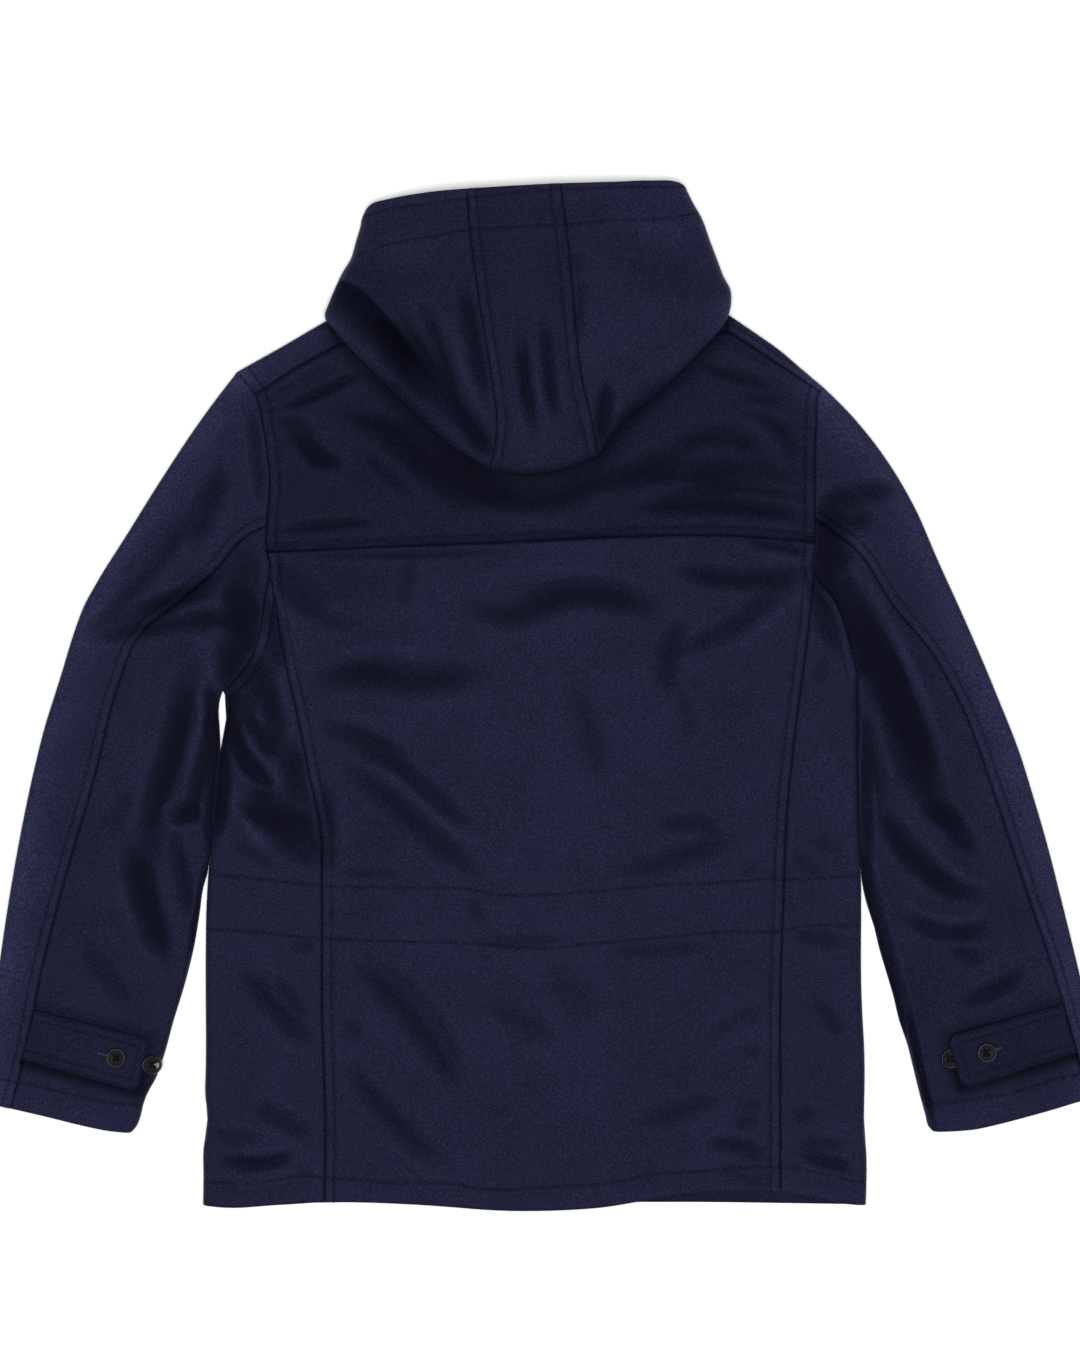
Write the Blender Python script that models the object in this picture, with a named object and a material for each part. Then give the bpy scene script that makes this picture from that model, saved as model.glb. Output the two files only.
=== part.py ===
"""Hooded duffle coat of melton wool, laid flat on its front with the back up.

Sizes are millimetres until a mesh is made. x runs across the coat, y from the hem up to the hood
and z up from the surface that the coat lies on. Every piece that is cut and sewn is an object of
its own: a closed wall of cloth, shaped in plan by its seams and in height by the layers below it.
"""

import math

import bpy
import numpy as np

MM = 0.001

# Driving dimensions
CLOTH = 2.5            # wall of melton
SEAM_GAP = 0.3         # between two pieces at a seam
ARMHOLE_GAP = 0.6      # the armhole's two edges are divided differently
LAYER_TOP = 8.5        # top of the two layers that lie on each other
EDGE_RADIUS = 6.0      # folded side of the body and of a sleeve
LANDING = CLOTH + 0.35  # where a back layer's folded side comes down on the front layer
TOGGLE_RISE = 11.8     # height at which the toggles hold the front
OVERLAP = 32.0         # each front reaches this far past the middle
OVERLAP_STEP = 4.0     # the inner front climbs over the outer one
HOOD_CROWN = 24.0      # height of the hood above what it lies on
HOOD_EDGE = 12.0
HOOD_RADIUS = 9.0
YOKE_CLEARANCE = 1.0   # between the yoke and the hood that lies on it
CELL = 27.0            # size of a plain cell of a wall
BACK_CELLS = 17        # across the yoke and the centre back
SIDE_CELLS = 16        # from the hem up to the underarm
SLEEVE_CELLS = 16      # from the underarm to the cuff
YOKE_CELLS = 7         # across a front yoke
HOOD_CELLS = 7         # across one side of the hood
ARMHOLE_STRETCH = 4.0
CLIMB_START = 72.0     # the inner front begins to climb this far before the middle
CLIMB_LENGTH = 24.0
FRONT_SEAM = 570.0     # height of the front yoke seam
TAB_LENGTH = 103.0
TAB_WIDTH = 47.0
TAB_CORNER = 7.0
BUTTON_DIAMETER = 16.4
BUTTON_THICKNESS = 3.2
TOGGLE_LENGTH = 50.0
TOGGLE_DIAMETER = 10.0
TOGGLE_ROWS = (170.0, 290.0, 410.0, 530.0)
CORD_DIAMETER = 3.0
PATCH_SIZE = (38.0, 30.0, 2.0)

# Edges and seams of the coat as it lies: x, y of the points that a smooth line passes through
EDGES = {
    "armhole_left": [(-260, 716), (-244, 696), (-237, 666), (-232, 628), (-234.2, 584), (-235, 568),
                     (-232, 555), (-237, 516), (-244, 479), (-257, 455), (-266, 440)],
    "armhole_right": [(243, 703), (240, 699), (237, 671), (236, 632), (236, 590), (236, 573),
                      (236, 544), (253, 519), (265, 486), (272, 456)],
    "side_left": [(-288, 2), (-288, 47), (-284, 75), (-286, 110), (-286, 200), (-285, 262),
                  (-283, 306), (-278, 321), (-273, 378), (-269, 414), (-266, 440)],
    "side_right": [(280, 1), (280, 64), (277, 133), (277, 211), (275, 270), (269, 331),
                   (271, 378), (273, 431), (272, 456)],
    "princess_left": [(-185, 4), (-184, 47), (-187, 176), (-187, 262), (-189, 329), (-199, 376),
                      (-208, 421), (-222, 484), (-232, 555)],
    "princess_right": [(206, 14), (206, 90), (206, 176), (209, 271), (212, 340), (217, 391),
                       (228, 477), (236, 544)],
    "yoke_seam": [(-235, 568), (-163, 569), (-77, 572), (9, 574), (95, 578), (168, 579),
                  (236, 573)],
    "shoulder_seam_left": [(-244, 696), (-206, 721), (-171, 740)],
    "shoulder_seam_right": [(240, 699), (210, 719), (183, 737), (161, 751)],
    "shoulder_left": [(-260, 716), (-239, 727), (-215, 738), (-183, 757)],
    "shoulder_right": [(243, 703), (224, 721), (181, 750), (161, 764)],
    "back_neck": [(-171, 740), (-90, 726), (0, 722), (90, 732), (161, 751)],
    "hem_left": [(-288, 2), (-269, -1), (-230, 1), (-185, 4)],
    "hem_middle": [(-185, 4), (-138, 3), (-77, 0), (-26, -3), (52, 0), (95, 6), (150, 13),
                   (180, 15), (206, 14)],
    "hem_right": [(206, 14), (230, 9), (257, 3), (280, 1)],
    "sleeve_left_outer": [(-260, 716), (-316, 635), (-370, 552), (-394, 503), (-402, 455),
                          (-421, 422), (-434, 370), (-445, 314), (-462, 217), (-483, 90)],
    "sleeve_left_seam": [(-234.2, 584), (-253, 574), (-278, 546), (-303, 524), (-344, 489),
                         (-363, 443), (-381, 372), (-402, 300), (-426, 209), (-443, 125),
                         (-454, 84)],
    "sleeve_left_inner": [(-275, 444), (-277, 400), (-281, 335), (-290, 256), (-311, 178),
                          (-329, 113), (-341, 90), (-350, 63)],
    "cuff_left": [(-483, 90), (-454, 84), (-426, 78), (-382, 67), (-350, 63)],
    "sleeve_right_outer": [(243, 703), (285, 653), (322, 593), (364, 503), (406, 410),
                           (424, 349), (442, 278), (464, 200), (483, 95)],
    "sleeve_right_seam": [(236, 590), (273, 561), (302, 517), (335, 476), (367, 417),
                          (385, 367), (417, 271), (439, 206), (460, 132), (470, 92)],
    "sleeve_right_inner": [(274, 457), (275.5, 431), (274, 378), (272, 331), (278, 273),
                           (285, 236), (303, 181), (319, 125), (329, 88), (336, 64)],
    "cuff_right": [(483, 95), (470, 92), (418, 78), (364, 64), (336, 64)],
    "hood_left_side": [(-146, 855), (-151, 839), (-164, 801), (-175, 783), (-182, 763),
                       (-172, 746), (-146, 718), (-120, 692), (-82, 656), (-46, 632)],
    "hood_left_corner": [(-46, 632), (-43, 630)],
    "hood_bottom": [(-43, 630), (-4, 627), (24, 632), (50, 643)],
    "hood_right_corner": [(50, 643), (52, 646)],
    "hood_right_side": [(52, 646), (66, 667), (99, 695), (138, 734), (161, 762), (163, 776),
                        (158, 793), (143, 829), (129, 857), (123, 870)],
    "gusset_left": [(-43, 630), (-37, 666), (-43, 718), (-53, 783), (-60, 837), (-63, 863)],
    "gusset_right": [(50, 643), (47, 661), (35, 713), (28, 783), (22, 842), (17, 870)],
    "rim_left": [(-146, 855), (-95, 860), (-63, 863)],
    "rim_middle": [(-63, 863), (-33, 867), (17, 870)],
    "rim_right": [(17, 870), (60, 872), (123, 870)],
    "front_top_left": [(-148, 859), (-118, 868), (-64, 874), (-2, 877.5)],
    "front_top_right": [(2, 878), (60, 881), (99, 882), (124, 875)],
}

# Where seams meet each armhole: shoulder's edge, shoulder seam, the sleeve's back seam, yoke seam,
# princess seam and underarm, with the number of cells between one and the next
ARMHOLE_CORNERS = {
    "left": [(-260, 716), (-244, 696), (-234.2, 584), (-235, 568), (-232, 555), (-266, 440)],
    "right": [(243, 703), (240, 699), (236, 590), (236, 573), (236, 544), (272, 456)],
}
ARMHOLE_CELLS = (1, 6, 1, 1, 8)
SHOULDER_SEAM, SLEEVE_SEAM, YOKE_SEAM, PRINCESS, TIP, UNDERARM = 1, 7, 8, 9, 11, 17
# share of the sleeve's outer edge level with the back seam's start and with the underarm, and
# share of the back seam level with the underarm
SLEEVE_LEVELS = {"left": (0.17, 0.37, 0.29), "right": (0.16, 0.38, 0.27)}
# where the hood's folded edge is widest
HOOD_CORNERS = {"left": (-182, 763), "right": (161, 762)}
# where the hood's stretch on the surface leaves the front neck and reaches the rim
HOOD_FRONT_SIDE = {
    "left": [(-181, 764), (-148, 859)],
    "right": [(161.5, 768), (124, 875)],
}
FRONT_NECK = {
    "left": [(-183, 757), (-170, 722), (-135, 688), (-85, 664), (-32, 654), (-2, 652)],
    "right": [(161, 764), (148, 722), (104, 680), (50, 658), (2, 652)],
}

# Largest folds: route (x, y), half width across it, height (a trough's is negative)
BACK_FOLDS = [
    ([(-175, 673), (-123, 660), (-83, 626), (-33, 606)], 17, -2.5),
    ([(-171, 657), (-114, 627), (-77, 601)], 15, 3.0),
    ([(-229, 680), (-200, 659), (-195, 629)], 14, -2.0),
    ([(171, 683), (207, 668), (220, 636)], 14, -2.0),
    ([(142, 740), (185, 722), (224, 705)], 14, 2.0),
    ([(-201, 446), (-166, 460), (-103, 452), (-36, 462)], 14, -2.3),
    ([(-200, 462), (-166, 474), (-84, 478)], 14, 2.5),
    ([(-186, 407), (-138, 392), (-84, 349), (-51, 329)], 14, -2.3),
    ([(-186, 392), (-127, 362), (-41, 301)], 15, 2.5),
    ([(-65, 525), (-24, 508), (26, 527), (108, 506)], 14, -2.3),
    ([(-70, 542), (-12, 546), (50, 550)], 14, 2.0),
    ([(103, 470), (161, 496), (212, 527)], 14, -2.3),
    ([(151, 470), (189, 494), (218, 515)], 13, 2.5),
    ([(19, 455), (40, 419), (50, 359)], 16, -1.5),
    ([(67, 284), (122, 301), (175, 320)], 14, -2.0),
    ([(-238, 467), (-255, 419), (-246, 392), (-223, 371)], 13, 3.0),
    ([(-224, 358), (-256, 348), (-250, 325), (-219, 298)], 13, 3.0),
    ([(-261, 210), (-227, 169), (-187, 132)], 15, -2.0),
    ([(-270, 40), (-245, 34), (-210, 44)], 14, -2.0),
    ([(-161, 218), (-114, 182), (-78, 138), (-61, 93)], 17, -2.3),
    ([(-169, 118), (-127, 84), (-93, 48)], 15, -2.0),
    ([(76, 68), (132, 84), (163, 95)], 15, -2.0),
    ([(138, 140), (180, 165), (193, 169)], 15, -2.0),
    ([(150, -5), (182, 5), (214, 0)], 34, 6.0),
]
SLEEVE_FOLDS = [
    ([(-268, 542), (-260, 516), (-251, 484)], 13, -2.0),
    ([(-336, 487), (-307, 497), (-288, 473), (-293, 408), (-319, 348)], 15, 3.5),
    ([(-303, 439), (-322, 374), (-334, 278), (-318, 209)], 17, -2.3),
    ([(-396, 231), (-376, 202), (-346, 167)], 14, -2.0),
    ([(-299, 600), (-338, 562), (-368, 531)], 15, -1.5),
    ([(262, 530), (297, 489), (322, 417), (335, 354)], 14, -2.5),
    ([(297, 332), (335, 292), (381, 261)], 14, -2.3),
    ([(328, 335), (361, 288), (390, 275)], 13, 3.5),
    ([(305, 270), (357, 240), (392, 262)], 12, 3.0),
    ([(312, 251), (357, 222), (389, 213)], 13, -2.3),
]
HOOD_FOLDS = [
    ([(-164, 790), (-120, 749), (-69, 679), (-44, 640)], 15, -8.0),
    ([(-160, 752), (-120, 712), (-82, 675), (-56, 650)], 13, 3.0),
    ([(-66, 777), (-53, 718), (-46, 680)], 13, -3.0),
    ([(-6, 754), (-4, 710), (2, 666)], 12, 2.5),
]

# Colours in linear light
WOOL = (0.0137, 0.0144, 0.0356)
HORN = (0.030, 0.016, 0.009)
LEATHER = (0.022, 0.014, 0.011)
CORD = (0.010, 0.010, 0.018)


def ease(t):
    """0 below 0, 1 above 1, smooth between."""
    t = np.clip(t, 0.0, 1.0)
    return t * t * (3.0 - 2.0 * t)


class Line:
    """A smooth line in plan, kept as dense points and measured along its length."""

    DENSITY = 2.0

    def __init__(self, dense):
        self.dense = np.asarray(dense, dtype=float)
        steps = np.linalg.norm(np.diff(self.dense, axis=0), axis=1)
        self.run = np.concatenate([[0.0], np.cumsum(steps)])
        self.length = self.run[-1]

    @classmethod
    def through(cls, points):
        knots = np.asarray(points, dtype=float)
        if len(knots) == 2:
            return cls(knots)
        spans = np.linalg.norm(np.diff(knots, axis=0), axis=1)
        rates = np.diff(knots, axis=0) / spans[:, None]
        tangents = np.empty_like(knots)
        before = spans[:-1, None]
        after = spans[1:, None]
        tangents[1:-1] = (rates[:-1] * after + rates[1:] * before) / (before + after)
        tangents[0] = 1.5 * rates[0] - 0.5 * tangents[1]
        tangents[-1] = 1.5 * rates[-1] - 0.5 * tangents[-2]
        dense = [knots[0]]
        for i, span in enumerate(spans):
            count = max(2, int(span / cls.DENSITY))
            for t in np.linspace(0.0, 1.0, count + 1)[1:]:
                start = (1 + 2 * t) * (1 - t) ** 2 * knots[i] + t * (1 - t) ** 2 * span * tangents[i]
                end = t * t * (3 - 2 * t) * knots[i + 1] + t * t * (t - 1) * span * tangents[i + 1]
                dense.append(start + end)
        return cls(dense)

    @classmethod
    def named(cls, name):
        return cls.through(EDGES[name])

    def at(self, share):
        run = np.asarray(share, dtype=float) * self.length
        return np.stack([np.interp(run, self.run, self.dense[:, k]) for k in (0, 1)], axis=-1)

    def between(self, start, end):
        """The stretch from the point nearest to start to the one nearest to end."""
        i, j = (int(np.argmin(np.linalg.norm(self.dense - p, axis=1))) for p in (start, end))
        step = 1 if j > i else -1
        stretch = self.dense[i:j + step:step] if j + step >= 0 else self.dense[i::step]
        stretch = stretch.copy()
        stretch[0], stretch[-1] = start, end
        return Line(stretch)

    def reverse(self):
        return Line(self.dense[::-1])

    def distance(self, points):
        """Plan distance from each point, and the share of the length where it is nearest."""
        shape = points.shape[:-1]
        flat = points.reshape(-1, 2)
        starts = self.dense[:-1]
        spans = np.diff(self.dense, axis=0)
        squares = np.maximum((spans ** 2).sum(axis=1), 1e-9)
        offset = flat[:, None, :] - starts[None]
        t = np.clip((offset * spans[None]).sum(axis=2) / squares, 0.0, 1.0)
        gaps = np.linalg.norm(offset - t[..., None] * spans[None], axis=2)
        best = gaps.argmin(axis=1)
        rows = np.arange(len(flat))
        share = (self.run[best] + t[rows, best] * np.sqrt(squares[best])) / self.length
        return gaps[rows, best].reshape(shape), share.reshape(shape)


def join(*lines):
    dense = [lines[0].dense]
    for line in lines[1:]:
        dense.append(line.dense[1:])
    return Line(np.concatenate(dense))


# Heights

def toggle_rise(points):
    """The toggles under the front hold the middle of the coat up."""
    x = np.abs(points[..., 0])
    y = points[..., 1]
    across = 1.0 - ease((x - 95.0) / 95.0)
    along = ease((y - 35.0) / 105.0) * (1.0 - ease((y - 575.0) / 160.0))
    return TOGGLE_RISE * across * along


def folds(points, table):
    """Sum of soft troughs and ridges that fade out toward both ends of their routes."""
    total = np.zeros(points.shape[:-1])
    for route, half_width, height in table:
        gap, share = Line.through(route).distance(points)
        fade = ease(share / 0.3) * ease((1.0 - share) / 0.3)
        total += height * fade * np.exp(-(gap / (0.62 * half_width)) ** 2)
    return total


def back_height(points):
    middle = 1.0 - ease((np.abs(points[..., 0]) - 45.0) / 65.0)
    low_part = 1.0 - ease((points[..., 1] - 650.0) / 80.0)
    body = LAYER_TOP + toggle_rise(points) + (OVERLAP_STEP + 0.4) * middle * low_part
    return body + folds(points, BACK_FOLDS)


def sleeve_height(points):
    return LAYER_TOP + folds(points, SLEEVE_FOLDS)


def hood_floor(points):
    """What the hood lies on: the yoke, and the surface beyond the shoulders."""
    beyond = ease((points[..., 1] - 768.0) / 30.0)
    return (back_height(points) + 0.9) * (1.0 - beyond) + LANDING * beyond


def hood_height(points):
    gap, _ = HOOD_OUTLINE.distance(points)
    y = points[..., 1]
    mouth = 1.0 - 0.42 * ease((y - 800.0) / 75.0)
    swell = HOOD_EDGE + (HOOD_CROWN - HOOD_EDGE) * ease(gap / 85.0)
    return hood_floor(points) + swell * mouth + folds(points, HOOD_FOLDS)


def rounded(top, landing, gap, radius):
    """Height near a folded side: a quarter of an ellipse from the landing up to the top."""
    reach = np.clip(1.0 - gap / radius, 0.0, 1.0)
    return landing + (top - landing) * np.sqrt(1.0 - reach ** 2)


# Plan shapes

ROLL_ANGLES = np.radians([90.0, 60.0, 30.0, 0.0])


def roll_steps(radius):
    """Distances from a folded side at which its columns lie."""
    return radius * (1.0 - np.sin(ROLL_ANGLES))


def shares(widths, left_steps, right_steps, count, stretch=None):
    """Shares across each row: fixed distances at both sides, even cells between them.

    Where a row has no folded side of its own, stretch widens the distances.
    """
    rows = []
    for width, factor in zip(widths, np.ones(len(widths)) if stretch is None else stretch):
        left, right = ([], [])
        for steps, found in ((left_steps, left), (right_steps, right)):
            if len(steps) > 0:
                scale = min(factor / width, 0.45 / max(max(steps), 1e-9))
                found.extend(step * scale for step in steps)
        right = [1.0 - share for share in right][::-1]
        start = left[-1] if left else 0.0
        end = right[0] if right else 1.0
        middle = list(np.linspace(start, end, count + 1))
        rows.append(left[:-1] + middle + right[1:])
    return np.array(rows)


def patch(bottom, top, left_points, right_points, left_steps=(), right_steps=(), cell=CELL,
          count=None, columns=None, stretch=None):
    """Plan points of a four-sided piece, rows from bottom to top, columns from left to right.

    A row is the straight line between a point of the left side and one of the right side, bent
    like the two ends. bottom and top are None where an end is straight. columns gives the
    shares along a row, if they are the same in each.
    """
    ends = np.stack([left_points[[0, -1]], right_points[[0, -1]]], axis=1)
    bottom = bottom or Line(ends[0])
    top = top or Line(ends[1])
    rows = np.linspace(0.0, 1.0, len(left_points))
    widths = np.linalg.norm(right_points - left_points, axis=1)
    if count is None:
        count = max(1, round(float(widths.max()) / cell))
    u = shares(widths, left_steps, right_steps, count, stretch)
    if columns is not None:
        u = np.tile(columns, (len(rows), 1))
    low = 1.0 - rows[:, None, None]
    high = rows[:, None, None]
    across = u[..., None]
    straight = (1 - across) * left_points[:, None] + across * right_points[:, None]
    bottom_bend = bottom.at(u) - ((1 - across) * bottom.at(0.0) + across * bottom.at(1.0))
    top_bend = top.at(u) - ((1 - across) * top.at(0.0) + across * top.at(1.0))
    return straight + low * bottom_bend + high * top_bend


def even_rows(length, cell=CELL, bottom_steps=(), top_steps=()):
    count = max(2, round(length / cell))
    return shares([length], list(bottom_steps), list(top_steps), count)[0]


SIDES = {"left": (np.s_[:, 0], np.s_[:, 1]), "right": (np.s_[:, -1], np.s_[:, -2]),
         "bottom": (np.s_[0], np.s_[1]), "top": (np.s_[-1], np.s_[-2])}


def square_to_side(grid, side):
    """Plan directions square to one side of a grid, pointing into it."""
    edge, inner = SIDES[side]
    inward = (grid[inner] - grid[edge])[:, :2]
    points = grid[edge][:, :2]
    line = np.gradient(points, axis=0)
    ahead = np.vstack([np.diff(points, axis=0), points[-1:] - points[-2:-1]])
    at_fold = np.linalg.norm(line, axis=1) < 0.5 * np.linalg.norm(ahead, axis=1)
    line[at_fold] = ahead[at_fold]
    square = np.stack([-line[:, 1], line[:, 0]], axis=-1)
    square /= np.maximum(np.linalg.norm(square, axis=-1, keepdims=True), 1e-9)
    return square * np.sign(np.sum(square * inward))


def inset(plan, **gaps):
    """Moves the named sides of a grid inward: left, right, bottom, top."""
    moves = [(SIDES[side][0], square_to_side(plan, side) * gap) for side, gap in gaps.items()]
    plan = plan.copy()
    for edge, shift in moves:
        plan[edge] += shift
    return plan


def lift(plan, height):
    return np.concatenate([plan, np.asarray(height)[..., None]], axis=-1)


# Meshes

def material(name, colour, roughness):
    made = bpy.data.materials.get(name)
    if made is None:
        made = bpy.data.materials.new(name)
        made.use_nodes = True
        shader = made.node_tree.nodes["Principled BSDF"]
        shader.inputs["Base Color"].default_value = (*colour, 1.0)
        shader.inputs["Roughness"].default_value = roughness
    return made


def add_object(name, points, faces, look):
    mesh = bpy.data.meshes.new(name)
    mesh.from_pydata((np.asarray(points) * MM).tolist(), [], faces)
    mesh.materials.append(look)
    mesh.shade_smooth()
    made = bpy.data.objects.new(name, mesh)
    bpy.context.scene.collection.objects.link(made)
    return made


def grid_normals(grid):
    """Vertex normals of a grid of points, from the cells round each point."""
    normals = np.zeros_like(grid)
    a, b, c, d = grid[:-1, :-1], grid[:-1, 1:], grid[1:, 1:], grid[1:, :-1]
    cell = np.cross(c - a, d - b)
    cell /= np.maximum(np.linalg.norm(cell, axis=-1, keepdims=True), 1e-9)
    for rows in (np.s_[:-1], np.s_[1:]):
        for columns in (np.s_[:-1], np.s_[1:]):
            normals[rows, columns] += cell
    return normals / np.maximum(np.linalg.norm(normals, axis=-1, keepdims=True), 1e-9)


def wall(name, outer, look, upright=(), level=()):
    """Closed wall of cloth behind a grid of outer points.

    The rim is square to the seam on upright sides, and horizontal where a folded side lands.
    """
    drop = grid_normals(outer)
    for side in (*level, *upright):
        edge = SIDES[side][0]
        square = lift(square_to_side(outer, side), np.zeros(len(drop[edge])))
        rest = drop[edge] - (drop[edge] * square).sum(axis=-1, keepdims=True) * square
        length = np.linalg.norm(rest, axis=-1, keepdims=True)
        rim = np.where(length > 0.3, rest / np.maximum(length, 1e-9), drop[edge])
        if side in level:
            folded = drop[edge][:, 2:] < 0.75
            rim = np.where(folded, -square, rim)
        drop[edge] = rim
    drop *= CLOTH
    inner = outer - drop
    rows, columns = outer.shape[:2]
    points = np.concatenate([outer.reshape(-1, 3), inner.reshape(-1, 3)])
    index = np.arange(rows * columns).reshape(rows, columns)
    back = index + rows * columns
    faces = []
    for r in range(rows - 1):
        for c in range(columns - 1):
            cell = (index[r, c], index[r, c + 1], index[r + 1, c + 1], index[r + 1, c])
            faces.append(tuple(int(k) for k in cell))
            faces.append(tuple(int(k) + rows * columns for k in reversed(cell)))
    ring = list(index[0]) + list(index[1:, -1]) + list(index[-1, -2::-1]) + list(index[-2:0:-1, 0])
    for k, first in enumerate(ring):
        second = ring[(k + 1) % len(ring)]
        faces.append((int(second), int(first), int(back.flat[first]), int(back.flat[second])))
    return add_object(name, points, faces, look)


def turned(name, profile, sides, centre, look, tilt=(0.0, 0.0)):
    """A piece turned about z from (radius, height) pairs, bottom to top, then leaned over."""
    points = [(0.0, 0.0, profile[0][1])]
    for radius, height in profile:
        for k in range(sides):
            angle = 2 * math.pi * k / sides
            points.append((radius * math.cos(angle), radius * math.sin(angle), height))
    points.append((0.0, 0.0, profile[-1][1]))
    points = np.array(points)
    slope_x, slope_y = tilt
    points[:, 2] += points[:, 0] * slope_x + points[:, 1] * slope_y
    points += centre
    last = len(points) - 1
    faces = []
    for k in range(sides):
        following = (k + 1) % sides
        faces.append((0, 1 + following, 1 + k))
        for ring in range(len(profile) - 1):
            low, high = 1 + ring * sides, 1 + (ring + 1) * sides
            faces.append((low + k, low + following, high + following, high + k))
        top = 1 + (len(profile) - 1) * sides
        faces.append((top + k, top + following, last))
    return add_object(name, points, faces, look)


# Pieces

def armhole_stops(name):
    """Points of an armhole at which the pieces on both sides of it have their corners."""
    line = Line.named("armhole_" + name)
    corners = ARMHOLE_CORNERS[name]
    stops = [np.array(corners[0], dtype=float)]
    for start, end, cells in zip(corners, corners[1:], ARMHOLE_CELLS):
        stretch = line.between(start, end)
        stops.extend(stretch.at(np.linspace(0.0, 1.0, cells + 1)[1:]))
    return np.array(stops)


def princess_points(name):
    """Corners along a princess seam: up to the underarm's level, then as the armhole's."""
    line = Line.named("princess_" + name)
    height = ARMHOLE_CORNERS[name][-1][1]
    level = np.interp(height, line.dense[:, 1], line.run) / line.length
    lower = np.linspace(0.0, level, SIDE_CELLS + 1)
    upper = np.linspace(level, 1.0, ARMHOLE_CELLS[-1] - 1)[1:]
    return line.at(np.concatenate([lower, upper]))


def armhole_stretch(arm_rows, folded_rows):
    """The folded side's narrow columns open out along the armhole."""
    opened = np.linspace(ARMHOLE_STRETCH, 1.0, arm_rows + 1)[:-1]
    return np.concatenate([opened, np.ones(folded_rows)])


def build_back(look):
    seam, arm = SEAM_GAP / 2, ARMHOLE_GAP / 2
    stops = {name: armhole_stops(name) for name in ("left", "right")}
    princess = {name: princess_points(name) for name in ("left", "right")}

    top = join(Line.named("shoulder_seam_left"), Line.named("back_neck"),
               Line.named("shoulder_seam_right").reverse())
    left, right = (stops[name][YOKE_SEAM:SHOULDER_SEAM - 1:-1] for name in ("left", "right"))
    plan = patch(Line.named("yoke_seam"), top, left, right, count=BACK_CELLS)
    plan = inset(plan, left=arm, right=arm, bottom=seam, top=seam)
    wall("yoke", lift(plan, back_height(plan)), look, upright=("left", "right", "bottom", "top"))

    left, right = (np.vstack([princess[name], stops[name][YOKE_SEAM]])
                   for name in ("left", "right"))
    plan = patch(Line.named("hem_middle"), Line.named("yoke_seam"), left, right, count=BACK_CELLS)
    plan = inset(plan, left=arm, right=arm, top=seam)
    wall("centre_back", lift(plan, back_height(plan)), look, upright=("left", "right", "top"))

    for name in ("left", "right"):
        side = Line.named("side_" + name)
        outer = np.vstack([side.at(np.linspace(0.0, 1.0, SIDE_CELLS + 1)),
                           stops[name][UNDERARM - 1:TIP - 1:-1]])
        hem, tip = Line.named("hem_" + name), Line(stops[name][TIP:PRINCESS - 1:-1])
        stretch = armhole_stretch(len(outer) - SIDE_CELLS - 1, SIDE_CELLS + 1)[::-1]
        if name == "left":
            plan = patch(hem, tip, outer, princess[name], left_steps=roll_steps(EDGE_RADIUS),
                         count=4, stretch=stretch)
            plan = inset(plan, right=seam, left=arm)
            plan[-1, :, 0] += arm
        else:
            plan = patch(hem, tip.reverse(), princess[name], outer,
                         right_steps=roll_steps(EDGE_RADIUS),
                         count=3, stretch=stretch)
            plan = inset(plan, left=seam, right=arm)
            plan[-1, :, 0] -= arm
        gap, _ = side.distance(plan)
        height = rounded(back_height(plan), LANDING, gap - arm, EDGE_RADIUS)
        seam_side = "right" if name == "left" else "left"
        wall("side_back_" + name, lift(plan, height), look, upright=(seam_side, "top"),
             level=(name,))


def facing_down(plan, height):
    """A layer whose outer face is its underside: its rows are turned so that it points down."""
    return lift(plan, height)[::-1]


def inner_front_height(plan):
    """The left front lies on the right one where they overlap."""
    climb = ease((plan[..., 0] + CLIMB_START) / CLIMB_LENGTH)
    neck = 1.0 - ease((plan[..., 1] - 660.0) / 60.0)
    return toggle_rise(plan) + OVERLAP_STEP * climb * neck


def build_fronts(look):
    arm = ARMHOLE_GAP / 2
    hem_drop = 3.0
    for name, sign in (("left", -1), ("right", 1)):
        side, stops = Line.named("side_" + name), armhole_stops(name)
        outer = np.vstack([side.at(np.linspace(0.0, 1.0, 12)),
                           stops[UNDERARM - 1:YOKE_SEAM - 1:-1]])
        middle_x = -sign * OVERLAP
        middle = np.stack([np.full(len(outer), middle_x),
                           np.linspace(hem_drop, FRONT_SEAM, len(outer))], axis=-1)
        if sign < 0:
            hem = Line([outer[0], (sign * 150.0, hem_drop), (middle_x, hem_drop)])
            steps = (0.0, OVERLAP + CLIMB_START - CLIMB_LENGTH, OVERLAP + CLIMB_START)
            plan = patch(hem, None, outer, middle, right_steps=steps, cell=38.0)
            plan = inset(plan, left=arm)
            height = inner_front_height(plan)
        else:
            hem = Line([(middle_x, hem_drop), (sign * 150.0, hem_drop), outer[0]])
            plan = patch(hem, None, middle, outer, left_steps=(0.0, OVERLAP), cell=38.0)
            plan = inset(plan, right=arm)
            height = toggle_rise(plan)
        plan = inset(plan, top=SEAM_GAP / 2)
        wall("front_" + name, facing_down(plan, height), look,
             upright=("left", "right", "bottom", "top"))


def from_edge(start, end, radius):
    """Points of the folded edge's columns, from start toward end."""
    start, end = np.asarray(start, dtype=float), np.asarray(end, dtype=float)
    way = (end - start) / np.linalg.norm(end - start)
    return start + roll_steps(radius)[:, None] * way


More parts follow.
